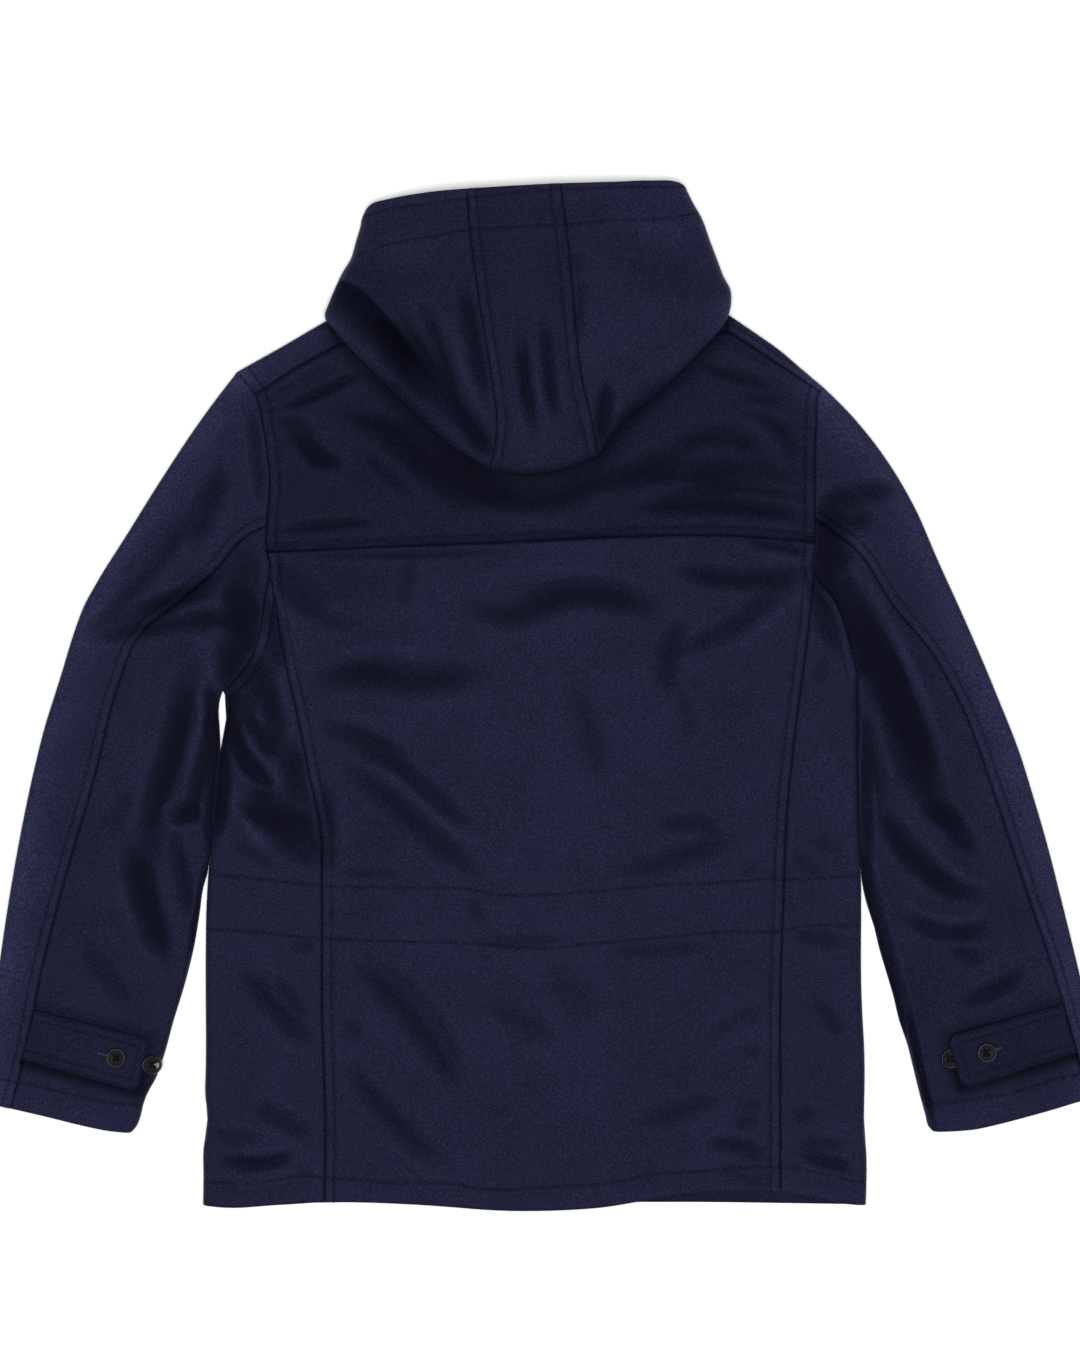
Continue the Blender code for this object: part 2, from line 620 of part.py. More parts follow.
def build_front_yokes(look):
    """Each reaches from the front yoke seam up, over the shoulder's edge, to the back yoke."""
    seam, arm = SEAM_GAP / 2, ARMHOLE_GAP / 2
    for name, sign in (("left", -1), ("right", 1)):
        shoulder, stops = Line.named("shoulder_" + name), armhole_stops(name)
        back_seam = Line.named("shoulder_seam_" + name)
        neck = np.array(FRONT_NECK[name], dtype=float)
        middle_x = -sign * OVERLAP
        radius = min(EDGE_RADIUS, 0.98 * np.linalg.norm(stops[1] - stops[0]))

        first_stop = SHOULDER_SEAM if radius == EDGE_RADIUS else SHOULDER_SEAM + 1
        outer = np.vstack([from_edge(stops[0], stops[1], radius),
                           stops[first_stop:YOKE_SEAM + 1]])
        neck_end = [(middle_x, neck[-1][1]), (middle_x, 612.0), (middle_x, FRONT_SEAM)]
        inner = np.vstack([from_edge(neck[0], neck[1], EDGE_RADIUS), neck[1:], neck_end])
        under = patch(shoulder, None, outer, inner[-len(outer):], count=YOKE_CELLS)
        under = inset(under, top=seam, left=arm, right=seam)
        strip_outer = np.vstack([from_edge(stops[0], stops[1], radius), stops[1]])
        strip_inner = np.vstack([from_edge(neck[0], back_seam.at(1.0), radius),
                                 back_seam.at(1.0)])
        if radius < EDGE_RADIUS:
            strip_outer, strip_inner = strip_outer[:-1], np.delete(strip_inner, -2, axis=0)
        strip = patch(shoulder, back_seam, strip_outer, strip_inner, count=YOKE_CELLS)
        strip = inset(strip, top=seam, left=arm)
        strip_gap, _ = shoulder.distance(strip)
        under_gap, _ = shoulder.distance(under)
        flat = inner_front_height(under) if sign < 0 else toggle_rise(under)
        strip_z = rounded(back_height(strip), LAYER_TOP / 2, strip_gap, EDGE_RADIUS)
        under_z = rounded(flat, LAYER_TOP / 2, under_gap, EDGE_RADIUS)
        grid = np.concatenate([lift(strip, strip_z)[:0:-1], lift(under, under_z)])
        if sign > 0:
            grid = grid[::-1]
        wall("front_yoke_" + name, grid, look, upright=("left", "right", "bottom", "top"))


def sleeve_rows(name):
    """Matching points along a sleeve: outer edge, back seam, and armhole with inner edge.

    The first rows start on the cap, before the back seam begins at SLEEVE_SEAM.
    """
    outer, back_seam = Line.named(f"sleeve_{name}_outer"), Line.named(f"sleeve_{name}_seam")
    inner, stops = Line.named(f"sleeve_{name}_inner"), armhole_stops(name)
    seam_level, underarm_level, seam_underarm = SLEEVE_LEVELS[name]
    cap_count = SLEEVE_SEAM - SHOULDER_SEAM
    arm_count = UNDERARM - YOKE_SEAM
    knots = (0, cap_count, cap_count + arm_count, cap_count + arm_count + SLEEVE_CELLS)
    rows = np.arange(knots[-1] + 1)
    outer_points = outer.at(np.interp(rows, knots, (0.0, seam_level, underarm_level, 1.0)))
    seam_points = back_seam.at(np.interp(rows[cap_count:], knots[1:], (0.0, seam_underarm, 1.0)))
    inner_points = np.vstack([stops[YOKE_SEAM:UNDERARM],
                              inner.at(np.linspace(0.0, 1.0, SLEEVE_CELLS + 1))])
    return outer_points, seam_points, inner_points, stops[SHOULDER_SEAM:SLEEVE_SEAM]


def build_sleeves(look):
    seam, arm = SEAM_GAP / 2, ARMHOLE_GAP / 2
    roll = roll_steps(EDGE_RADIUS)
    for name, sign in (("left", -1), ("right", 1)):
        outer, inner = Line.named(f"sleeve_{name}_outer"), Line.named(f"sleeve_{name}_inner")
        cuff = Line.named("cuff_" + name)
        outer_points, seam_points, inner_points, cap_points = sleeve_rows(name)
        cuff_outer = cuff.between(cuff.at(0.0), seam_points[-1])
        cuff_inner = cuff.between(seam_points[-1], cuff.at(1.0))

        # the upper sleeve: back strip, folded outer edge and the whole front of the tube
        strip = patch(None, cuff_outer, outer_points, np.vstack([cap_points, seam_points]),
                      left_steps=roll, count=2)
        strip = inset(strip, right=seam, bottom=arm)
        under = patch(None, cuff, outer_points, np.vstack([cap_points, inner_points]),
                      left_steps=roll, count=4)
        under = inset(under, bottom=arm, right=arm)
        strip_gap, _ = outer.distance(strip)
        under_gap, _ = outer.distance(under)
        strip_z = rounded(sleeve_height(strip), LAYER_TOP / 2, strip_gap, EDGE_RADIUS)
        under_z = rounded(np.zeros(under.shape[:2]), LAYER_TOP / 2, under_gap, EDGE_RADIUS)
        grid = np.concatenate([lift(strip, strip_z)[:, :0:-1], lift(under, under_z)], axis=1)
        if sign > 0:
            grid = grid[::-1]
        wall("upper_sleeve_" + name, grid, look, upright=("left", "right", "bottom", "top"))

        # the under sleeve: from the back seam to the inner edge, which comes down on the front
        stretch = armhole_stretch(UNDERARM - YOKE_SEAM, SLEEVE_CELLS + 1)
        plan = patch(None, cuff_inner, seam_points, inner_points, right_steps=roll, count=3,
                     stretch=stretch)
        plan = inset(plan, left=seam, right=arm, bottom=arm)
        gap, _ = inner.distance(plan)
        height = rounded(sleeve_height(plan), LANDING, gap - arm, EDGE_RADIUS)
        grid = lift(plan, height)
        if sign < 0:
            grid = grid[::-1]
        wall("under_sleeve_" + name, grid, look, upright=("left", "bottom", "top"),
             level=("right",))


HOOD_OUTLINE = join(*(Line.named(name) for name in (
    "hood_left_side", "hood_left_corner", "hood_bottom", "hood_right_corner",
    "hood_right_side")))


def hood_grid(plan):
    gap, _ = HOOD_OUTLINE.distance(plan)
    return lift(plan, rounded(hood_height(plan), hood_floor(plan), gap, HOOD_RADIUS))


def build_hood(look):
    seam = SEAM_GAP / 2
    roll = roll_steps(HOOD_RADIUS)
    gusset_left, gusset_right = Line.named("gusset_left"), Line.named("gusset_right")

    rows = even_rows(gusset_left.length, cell=22.0, bottom_steps=(0.0, 3.5, HOOD_RADIUS))

    side = Line.named("hood_left_side").reverse()
    rising = side.between(HOOD_CORNERS["left"], side.at(1.0))
    fold = join(side.between(side.at(0.0), HOOD_CORNERS["left"]).reverse(),
                Line.named("hood_left_corner"))
    plan = patch(fold, Line.named("rim_left"), rising.at(rows), gusset_left.at(rows),
                 left_steps=roll, count=HOOD_CELLS)
    plan = inset(plan, right=seam)
    wall("hood_left", hood_grid(plan), look, upright=("right", "top"), level=("left", "bottom"))

    plan = patch(Line.named("hood_bottom"), Line.named("rim_middle"), gusset_left.at(rows),
                 gusset_right.at(rows), count=4)
    plan = inset(plan, left=seam, right=seam)
    wall("hood_gusset", hood_grid(plan), look, upright=("left", "right", "top"),
         level=("bottom",))

    side = Line.named("hood_right_side")
    rising = side.between(HOOD_CORNERS["right"], side.at(1.0))
    fold = join(Line.named("hood_right_corner"), side.between(side.at(0.0), HOOD_CORNERS["right"]))
    plan = patch(fold, Line.named("rim_right"), gusset_right.at(rows), rising.at(rows),
                 right_steps=roll, count=HOOD_CELLS)
    plan = inset(plan, left=seam)
    wall("hood_right", hood_grid(plan), look, upright=("left", "top"), level=("right", "bottom"))

    # the stretch that lies on the yoke, from the back neck down to the fold
    neck = Line.named("back_neck").between((-144, 735), (142, 746))
    rows = even_rows(110.0, cell=22.0)
    left = Line([(-28, 648), (-88, 704), (-144, 735)])
    right = Line([(38, 655), (92, 714), (142, 746)])
    plan = patch(None, neck, left.at(rows), right.at(rows), cell=CELL)
    wall("hood_back_lower", lift(plan, back_height(plan) + YOKE_CLEARANCE + CLOTH), look)

    # the two stretches on the surface, from the front neck up to the rim
    for name, sign in (("left", -1), ("right", 1)):
        start, end = HOOD_FRONT_SIDE[name]
        side = Line.named("hood_" + name + "_side")
        side = (side.reverse() if sign < 0 else side).between(start, end)
        neck = Line([start] + FRONT_NECK[name][1:])
        rows = even_rows(150.0, cell=25.0)
        middle = Line([FRONT_NECK[name][-1], (sign * 2.0, 877.8)])
        top = Line.named("front_top_" + name)
        top = top if sign < 0 else top.reverse()
        plan = patch(neck, top, side.at(rows), middle.at(rows), columns=neck.run / neck.length)
        plan = inset(plan, bottom=SEAM_GAP)
        grid = lift(plan, toggle_rise(plan))
        if sign < 0:
            grid = grid[::-1]
        wall("hood_front_" + name, grid, look, upright=("left", "right", "bottom", "top"))


# name, start at the sleeve's back seam, free end, lift of the free end
TABS = [
    ("cuff_tab_left", (-438.5, 147.5), (-338.5, 121.0), 0.0),
    ("cuff_tab_right", (453.5, 153.0), (356.5, 124.5), 4.2),
]


def build_tabs(look):
    for name, start, end, end_lift in TABS:
        start, end = np.array(start), np.array(end)
        along = (end - start) / np.linalg.norm(end - start)
        across = np.array((-along[1], along[0]))
        corner = TAB_CORNER * (1.0 - np.cos(np.radians([0.0, 30.0, 60.0, 90.0])))
        run = np.concatenate([np.linspace(0.0, TAB_LENGTH - TAB_CORNER, 6)[:-1],
                              TAB_LENGTH - corner[::-1]])
        short = np.clip(1.0 - (TAB_LENGTH - run) / TAB_CORNER, 0.0, 1.0)
        half = TAB_WIDTH / 2 - TAB_CORNER * (1.0 - np.sqrt(1.0 - short ** 2))
        share = np.linspace(-1.0, 1.0, 4)
        plan = (start + run[None, :, None] * along
                + (share[:, None] * half[None])[..., None] * across)
        raised = end_lift * ease((run - TAB_LENGTH + 70.0) / 34.0)
        height = sleeve_height(plan) + 0.45 + CLOTH + raised[None]
        wall(name, lift(plan, height), look, upright=("left", "right", "bottom", "top"))


# name, centre, height of its underside above the sleeve, slope across x
BUTTONS = [
    ("button_left_tab", (-363.0, 128.0), 0.45 + CLOTH + 0.35, 0.0),
    ("button_left_spare", (-332.0, 122.0), 1.0, -0.35),
    ("button_right_tab", (382.0, 133.0), 0.45 + CLOTH + 0.35 + 4.2, 0.0),
    ("button_right_spare", (352.0, 127.0), 0.35, 0.0),
]


def build_buttons(look):
    rim = BUTTON_DIAMETER / 2
    profile = [(rim - 2.0, 0.0), (rim - 0.4, 0.8), (rim, 1.7), (rim - 0.9, BUTTON_THICKNESS),
               (rim - 2.4, BUTTON_THICKNESS - 0.5), (rim - 3.6, BUTTON_THICKNESS - 1.0)]
    for name, (x, y), gap, slope in BUTTONS:
        base = float(sleeve_height(np.array((x, y)))) + gap
        turned(name, profile, 18, (x, y, base), look, tilt=(slope, 0.0))


def build_toggles(horn, leather, cord):
    """Four toggles under the front, each held by a loop from either side."""
    bulge = TOGGLE_DIAMETER / 2
    half = TOGGLE_LENGTH / 2
    patch_inner = 46.0
    cord_height = TOGGLE_RISE - 0.35 - CORD_DIAMETER / 2
    for number, y in enumerate(TOGGLE_ROWS, start=1):
        profile = [(2.2, -half), (3.6, -0.84 * half), (bulge, -0.45 * half), (3.2, 0.0),
                   (bulge, 0.45 * half), (3.6, 0.84 * half), (2.2, half)]
        toggle = turned(f"toggle_{number}", profile, 12, (0.0, 0.0, 0.0), horn)
        lay_along_y(toggle, (0.0, y, bulge))
        for side, sign in (("left", -1), ("right", 1)):
            length, width, thickness = PATCH_SIZE
            centre = (sign * (patch_inner + length / 2), y,
                      TOGGLE_RISE - 0.35 - thickness / 2)
            leather_patch(f"patch_{side}_{number}", centre, (length, width, thickness), leather)
            route = loop_route(sign, y, patch_inner - 0.4, cord_height)
            add_cord(f"loop_{side}_{number}", route, cord)


def lay_along_y(piece, place):
    """Turns a piece from standing on z to lying along y."""
    for vertex in piece.data.vertices:
        x, y, z = vertex.co
        vertex.co = (x + place[0] * MM, z + place[1] * MM, -y + place[2] * MM)


def leather_patch(name, centre, size, look):
    """Flat patch with cut corners."""
    half_x, half_y, half_z = (value / 2 for value in size)
    cut = 6.0
    outline = [(-half_x + cut, -half_y), (half_x - cut, -half_y), (half_x, -half_y + cut),
               (half_x, half_y - cut), (half_x - cut, half_y), (-half_x + cut, half_y),
               (-half_x, half_y - cut), (-half_x, -half_y + cut)]
    count = len(outline)
    points = [(x, y, z) for z in (-half_z, half_z) for x, y in outline]
    faces = [tuple(range(count))[::-1], tuple(range(count, 2 * count))]
    for k in range(count):
        following = (k + 1) % count
        faces.append((k, following, count + following, count + k))
    made = add_object(name, np.array(points) + centre, faces, look)
    made.data.shade_flat()
    return made


def loop_route(sign, y, start, height):
    """Two strands from a patch, joined by a bend under the toggle's waist."""
    half_gap = 5.0
    tip = 2.0 + half_gap
    route = [(sign * start, y - half_gap, height), (sign * (start + tip) / 2, y - half_gap, height)]
    for angle in np.radians(np.linspace(-90.0, 90.0, 7)):
        route.append((sign * (tip - half_gap * math.cos(angle)), y + half_gap * math.sin(angle),
                      height))
    route += [(sign * (start + tip) / 2, y + half_gap, height),
              (sign * start, y + half_gap, height)]
    return route


def add_cord(name, route, look):
    curve = bpy.data.curves.new(name, "CURVE")
    curve.dimensions = "3D"
    curve.bevel_depth = CORD_DIAMETER / 2 * MM
    curve.bevel_resolution = 1
    curve.use_fill_caps = True
    spline = curve.splines.new("POLY")
    spline.points.add(len(route) - 1)
    for point, place in zip(spline.points, route):
        point.co = (*(value * MM for value in place), 1.0)
    curve.materials.append(look)
    made = bpy.data.objects.new(name, curve)
    bpy.context.scene.collection.objects.link(made)
    return made


def centre_on_origin():
    """Shifts everything so that the origin is under the middle of the whole coat."""
    meshes = [piece for piece in bpy.data.objects if piece.type == "MESH"]
    points = np.array([vertex.co for piece in meshes for vertex in piece.data.vertices])
    middle = (points.min(axis=0) + points.max(axis=0)) / 2
    for piece in bpy.data.objects:
        if piece.type == "MESH":
            for vertex in piece.data.vertices:
                vertex.co.x -= middle[0]
                vertex.co.y -= middle[1]
        else:
            for point in piece.data.splines[0].points:
                point.co.x -= middle[0]
                point.co.y -= middle[1]


def main():
    for old in list(bpy.data.objects):
        bpy.data.objects.remove(old)
    wool = material("wool_melton", WOOL, 0.95)
    build_back(wool)
    build_fronts(wool)
    build_front_yokes(wool)
    build_sleeves(wool)
    build_hood(wool)
    build_tabs(wool)
    horn = material("horn", HORN, 0.25)
    build_buttons(horn)
    build_toggles(horn, material("leather", LEATHER, 0.6), material("cord", CORD, 0.8))
    centre_on_origin()


main()
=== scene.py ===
"""Looks of a hooded duffle coat of melton wool, laid flat on its front with the back up.

Sizes are millimetres until a mesh is made. x runs across the coat, y from the hem up to the hood
and z up from the surface that the coat lies on. Each cut piece is a closed wall of cloth on the
form of its solid, with its folds, sewn-down seam allowances and rows of stitches.
"""

import math
from collections import namedtuple

import bpy
import numpy as np
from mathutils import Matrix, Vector


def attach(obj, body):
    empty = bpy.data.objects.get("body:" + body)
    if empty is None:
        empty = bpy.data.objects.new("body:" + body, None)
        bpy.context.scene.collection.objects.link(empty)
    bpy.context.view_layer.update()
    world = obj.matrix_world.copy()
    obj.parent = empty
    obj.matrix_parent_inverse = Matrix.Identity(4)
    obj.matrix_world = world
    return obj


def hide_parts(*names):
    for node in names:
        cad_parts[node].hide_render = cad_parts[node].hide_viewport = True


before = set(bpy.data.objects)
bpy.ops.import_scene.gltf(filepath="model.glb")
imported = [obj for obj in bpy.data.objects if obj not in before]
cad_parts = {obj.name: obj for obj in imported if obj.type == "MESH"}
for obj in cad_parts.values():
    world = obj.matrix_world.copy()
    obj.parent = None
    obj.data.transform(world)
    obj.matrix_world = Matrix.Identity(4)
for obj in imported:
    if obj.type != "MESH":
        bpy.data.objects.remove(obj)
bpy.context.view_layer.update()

MM = 0.001
ORIGIN = np.array((0.0, 439.5436))     # the frame's origin, in the coat's own x, y

# Sizes of the coat
CLOTH = 2.5            # wall of melton
SEAM_GAP = 0.16        # between two pieces at a seam
ARMHOLE_GAP = 0.2
HOOD_SEAM_GAP = 0.05
HALF_SEAM, HALF_ARMHOLE, HALF_HOOD_SEAM = SEAM_GAP / 2, ARMHOLE_GAP / 2, HOOD_SEAM_GAP / 2
LAYER_TOP = 8.5        # top of the two layers that lie on each other
DEEPEST = 3.0          # a trough of the back comes down on the front
EDGE_RADIUS = 6.0      # folded side of the body and of a sleeve
REST_GAP = 0.35        # left between two layers that lie on each other
LANDING = CLOTH + REST_GAP     # where a back layer's folded side comes down on the front layer
TOGGLE_RISE = 11.8     # height at which the toggles hold the front
OVERLAP = 32.0         # each front reaches this far past the middle
OVERLAP_STEP = 4.0     # the inner front climbs over the outer one
CLIMB_START = 72.0
CLIMB_LENGTH = 24.0
HOOD_CROWN = 24.0      # height of the hood above what it lies on
HOOD_EDGE = 12.0
HOOD_RADIUS = 9.0
YOKE_CLEARANCE = 1.0   # between the yoke and the hood that lies on it
FRONT_SEAM = 570.0     # height of the front yoke seam
FRONT_HEM = 3.0
HEM_ROW = 22.0         # height of the stitches along a front's hem
EDGE_ROW = OVERLAP - 9.0       # from the middle to the stitches along a front's edge
ARMHOLE_STRETCH = 4.0  # how far a folded side's narrow columns open out along the armhole
TAB_LENGTH = 103.0
TAB_WIDTH = 47.0
TAB_CORNER = 9.0
TAB_GAP = 0.45         # between a tab and the sleeve under it
BUTTON_DIAMETER = 16.4
BUTTON_THICKNESS = 3.2
TOGGLE_LENGTH = 50.0
TOGGLE_DIAMETER = 10.0
TOGGLE_ROWS = (170.0, 290.0, 410.0, 530.0)
CORD_DIAMETER = 3.0
PATCH_SIZE = (38.0, 30.0, 2.0)
PATCH_INNER = 46.0     # from the middle to a patch's inner edge
PATCH_CORNER = 6.0
PATCH_ROW = 2.6        # a patch's stitches are that far inside its edge
LOOP_HALF_GAP = 5.0    # half the distance between a loop's two strands

# Sides of the coat: which way each lies from the middle, and the one across from it
SIGNS = {"left": -1, "right": 1}
OTHER = {"left": "right", "right": "left"}

# Cells of the fine walls
TOP_CELL = 2.2         # on what shows from above
HOOD_CELL = 1.9
UNDER_CELL = 7.0       # on what lies underneath
FRONT_CELL = 4.0       # on the hood's stretch in front of the neck
INNER_STRIDE = 4       # the wall's hidden face has cells this many times coarser

# Edges and seams of the coat as it lies: x, y, x, y, ... that a smooth line passes through
EDGES = {
    "armhole_left": [
        -260, 716, -244, 696, -237, 666, -232, 628, -234.2, 584, -235, 565, -232, 553, -237, 516,
        -244, 479, -259, 455, -272.5, 441.5],
    "armhole_right": [
        243, 703, 240, 699, 237, 671, 236, 632, 236, 590, 236, 573, 236, 544, 253, 519, 265, 486,
        272, 456],
    "side_left": [
        -289.5, 1, -289.2, 25, -289, 50, -286.3, 66, -285.8, 77, -287.6, 95, -287.2, 120,
        -287.2, 225, -286.6, 258, -285.8, 272.6, -285, 285, -283.6, 300, -282.1, 314, -280.3, 335,
        -277.5, 368, -274.6, 391, -272, 405, -269.6, 419, -268.6, 430, -269.6, 437, -272.5, 441.5],
    "side_right": [
        280, 1, 280.4, 14, 280.4, 45, 278.4, 68, 278.6, 87, 279, 118, 278.4, 140, 276.8, 168,
        276.1, 190, 276, 262, 275.8, 279, 274.8, 300, 273, 331, 272.4, 378, 272.2, 431, 272, 456],
    "princess_left": [
        -185, 4, -184, 47, -187, 176, -187, 262, -189, 329, -199, 376, -208, 421, -222, 484,
        -232, 553],
    "princess_right": [
        206, 14, 206, 90, 206, 176, 209, 271, 212, 340, 217, 391, 228, 477, 236, 544],
    "yoke_seam": [-234.8, 561, -163, 564, -77, 567, 9, 570.5, 95, 574.5, 168, 575, 236, 569],
    "shoulder_seam_left": [-244, 696, -206, 721, -171, 740],
    "shoulder_seam_right": [240, 699, 210, 719, 183, 737, 161, 751],
    "shoulder_left": [-260, 716, -244, 725, -219.5, 738.7, -196.5, 752.3, -183, 760],
    "shoulder_right": [243, 703, 224.5, 718.5, 209, 732, 181, 752, 161, 765.5],
    "back_neck": [-171, 740, -90, 726, 0, 722, 90, 732, 161, 751],
    "hem_left": [-289.5, 1, -269, -1, -230, 1, -185, 4],
    "hem_middle": [-185, 4, -138, 3, -77, 0, -26, -3, 52, 0, 95, 6, 150, 13, 180, 15, 206, 14],
    "hem_right": [206, 14, 230, 9, 257, 3, 280, 1],
    "sleeve_left_outer": [
        -260, 716, -287, 680.5, -328.5, 618.5, -354.3, 577, -380, 536, -391.5, 515, -399.3, 494.5,
        -412, 453, -425, 412, -435.3, 370.7, -448, 309, -458.5, 247, -464.5, 206, -483, 90],
    "sleeve_left_seam": [
        -234.2, 584, -253, 574, -278, 546, -303, 524, -344, 489, -363, 443, -381, 372, -402, 300,
        -426, 209, -443, 125, -454, 84],
    "sleeve_left_inner": [
        -273, 441.5, -275.6, 432, -276.2, 424, -275.4, 412, -274.8, 391, -277.5, 368, -280.3, 335,
        -282.1, 314, -283.7, 300, -286, 285, -289.5, 272.6, -292.4, 252, -297.6, 221, -305.3, 190,
        -314.8, 159, -323.4, 128, -331, 107.5, -337, 97, -341, 86.5, -343.3, 76.5, -347, 67.5,
        -351, 63],
    "cuff_left": [-483, 90, -454, 84, -421.4, 76.5, -393.9, 69.7, -370, 64.8, -351, 63],
    "sleeve_right_outer": [
        243, 703, 265.7, 680.5, 298.5, 639, 322.5, 598, 340.6, 556.5, 359.5, 515, 377.5, 474,
        394.7, 432.6, 411, 391.3, 424, 350, 436, 308.7, 446.5, 267.5, 456.8, 226, 464, 196,
        483, 95],
    "sleeve_right_seam": [
        236, 590, 273, 561, 302, 517, 335, 476, 367, 417, 385, 367, 417, 271, 439, 206, 460, 132,
        470, 92],
    "sleeve_right_inner": [
        272.1, 455, 272.2, 431, 272.4, 378, 273, 331, 274.8, 300, 276.6, 279, 280, 262, 283, 252,
        286.4, 241.7, 291.5, 221, 297.6, 200.4, 303.6, 180, 308.7, 159, 315.6, 138.5, 320.8, 118,
        325.9, 97, 331.5, 76.5, 334, 67.5, 337.5, 64],
    "cuff_right": [483, 95, 470, 92, 441, 83.4, 418, 77, 393, 70.5, 372, 66, 355, 64.5, 337.5, 64],
    "hood_left_side": [
        -150, 854.5, -152.5, 849.5, -154.5, 840, -158, 828.5, -162.5, 813, -169.5, 801.5,
        -176.3, 787, -181.5, 773, -184.5, 764.5, -172, 746, -146, 718, -120, 692, -82, 656,
        -46, 632],
    "hood_left_corner": [-46, 632, -43, 630],
    "hood_bottom": [-43, 630, -4, 627, 24, 632, 50, 643],
    "hood_right_corner": [50, 643, 52, 646],
    "hood_right_side": [
        52, 646, 66, 667, 99, 695, 138, 734, 161, 762, 164, 776, 163.3, 787, 158, 797, 153.5, 809,
        146.3, 828, 138.5, 849, 131.6, 861, 125.5, 873.6],
    "gusset_left": [-43, 630, -37, 666, -43, 718, -53, 783, -60, 837, -62.5, 871.3],
    "gusset_right": [50, 643, 47, 661, 35, 713, 28, 783, 22, 842, 17.5, 875.9],
    "rim_left": [-150, 854.5, -144.5, 859.2, -130, 863.2, -100, 868, -62.5, 871.3],
    "rim_middle": [-62.5, 871.3, -30, 873.4, 17.5, 875.9],
    "rim_right": [17.5, 875.9, 60, 877.2, 96, 879, 116, 878.4, 121.5, 876.6, 125.5, 873.6],
    "front_top_left": [-149, 853, -118, 862, -64, 869, -2, 872.8],
    "front_top_right": [2, 873, 60, 875, 99, 876.5, 124.5, 871],
}

# Rows of stitches that are not parallel to a seam
ROWS = {
    "hem": [
        -286, 21, -248, 20, -227, 23, -206, 26, -187, 25, -163, 23, -120, 20, -78, 20, -46, 15,
        -25, 15, 17, 18, 52, 20, 95, 27, 138, 30, 181, 34, 202, 34, 224, 32, 249, 27, 277, 20],
    "waist_upper": [
        -284, 285, -249, 282, -206, 277, -185, 275, -112, 274, -60, 273, -34, 269, 17, 269,
        52, 272, 95, 276, 168, 279, 189, 281, 224, 281, 272, 284],
    "waist_lower": [
        -286, 238, -249, 236, -215, 232, -185, 230, -120, 228, -60, 227, -17, 224, 9, 223,
        34, 226, 86, 230, 129, 234, 168, 236, 202, 236, 224, 240, 275, 241],
    "cuff_left": [-479, 112, -450, 107, -421, 101, -388, 93, -366, 88, -345, 87],
    "cuff_right": [333, 89, 353, 89, 378, 93, 403, 97, 428, 105, 464, 114, 480, 118],
    "rim": [
        -150, 848.5, -136, 853.5, -95, 859, -62, 863.5, -33, 867, 7, 871, 42, 871.8, 81, 873.8,
        124, 874],
    "visor": [
        -139, 822, -120, 826, -95, 830, -61, 836, -33, 838, 22, 841, 60, 844, 112, 847, 134, 851],
    "shoulder_left": [-233, 683, -204, 692, -163, 713, -151, 718],
    "sleeve_right_front": [316, 164, 322, 134, 329, 107, 333, 89, 339, 66],
}

# Where seams meet each armhole: shoulder's edge, shoulder seam, the sleeve's back seam, yoke seam,
# princess seam and underarm, with the number of fine cells between one and the next
ARMHOLE_CORNERS = {
    "left": [(-260, 716), (-244, 696), (-234.2, 584), (-234.8, 561), (-232, 553), (-272.5, 441.5)],
    "right": [(243, 703), (240, 699), (236, 590), (236, 569), (236, 544), (272, 456)],
}
ARMHOLE_CELLS = (8, 56, 8, 8, 64)
SHOULDER_SEAM, SLEEVE_SEAM, YOKE_SEAM, PRINCESS, TIP, UNDERARM = 8, 64, 72, 80, 96, 144
SIDE_CELLS = 200       # from the hem up to the underarm
SLEEVE_CELLS = 184     # from the underarm to the cuff
# share of the sleeve's outer edge level with the back seam's start and with the underarm, and
# share of the back seam level with the underarm
SLEEVE_LEVELS = {"left": (0.17, 0.37, 0.29), "right": (0.16, 0.38, 0.27)}
HOOD_CORNERS = {"left": (-184.5, 764.5), "right": (161, 762)}
HOOD_FRONT_SIDE = {"left": [(-183.5, 766), (-149, 853)], "right": [(162, 768), (124.5, 871)]}
FRONT_NECK = {
    "left": [(-183, 760), (-170, 722), (-135, 688), (-85, 664), (-32, 654), (-2, 652)],
    "right": [(161, 765.5), (148, 722), (104, 680), (50, 658), (2, 652)],
}

# Folds: half width across the route, height (a trough's is negative), and the route's x, y
YOKE_FOLDS = [
    (20, -5.4, -186, 684, -130, 668, -98, 640, -66, 617, -8, 603),
    (9, -2.2, -158, 652, -130, 628, -105, 604), (9, 1.8, -165, 690, -135, 682, -112, 672),
    (9, -3.0, -215, 668, -192, 645, -165, 634), (11, -3.0, -229, 680, -200, 659, -195, 629),
    (8, -1.2, -192, 642, -168, 635), (7, -1.2, -225, 656, -210, 659),
    (15, -4.2, -108, 672, -76, 642, -42, 616, 4, 607, 50, 624, 92, 643),
    (15, -2.6, 44, 612, 76, 626, 110, 643, 150, 652), (20, -2.0, 116, 622, 172, 634, 228, 618),
    (8, -2.6, 98, 610, 160, 616, 236, 606), (13, -2.6, 106, 652, 160, 661, 206, 648),
    (17, -2.2, 66, 625, 125, 628, 196, 622), (8, -1.9, 171, 683, 207, 668, 220, 636),
    (9, 1.4, 174, 672, 198, 654, 212, 629), (7, -2.5, 132, 727, 175, 710, 201, 706),
    (10, 2.2, 142, 740, 185, 722, 224, 705), (9, -1.4, 171, 697, 213, 689),
    (11, -4.6, 68, 598, 150, 603, 240, 590), (11, -3.0, -197, 652, -181, 632),
    (6, -3.2, -236, 579, -190, 584, -130, 588), (6, -3.4, -226, 682, -190, 697, -146, 719),
    (5, -4.0, -247, 690, -240, 650, -234, 610),
]
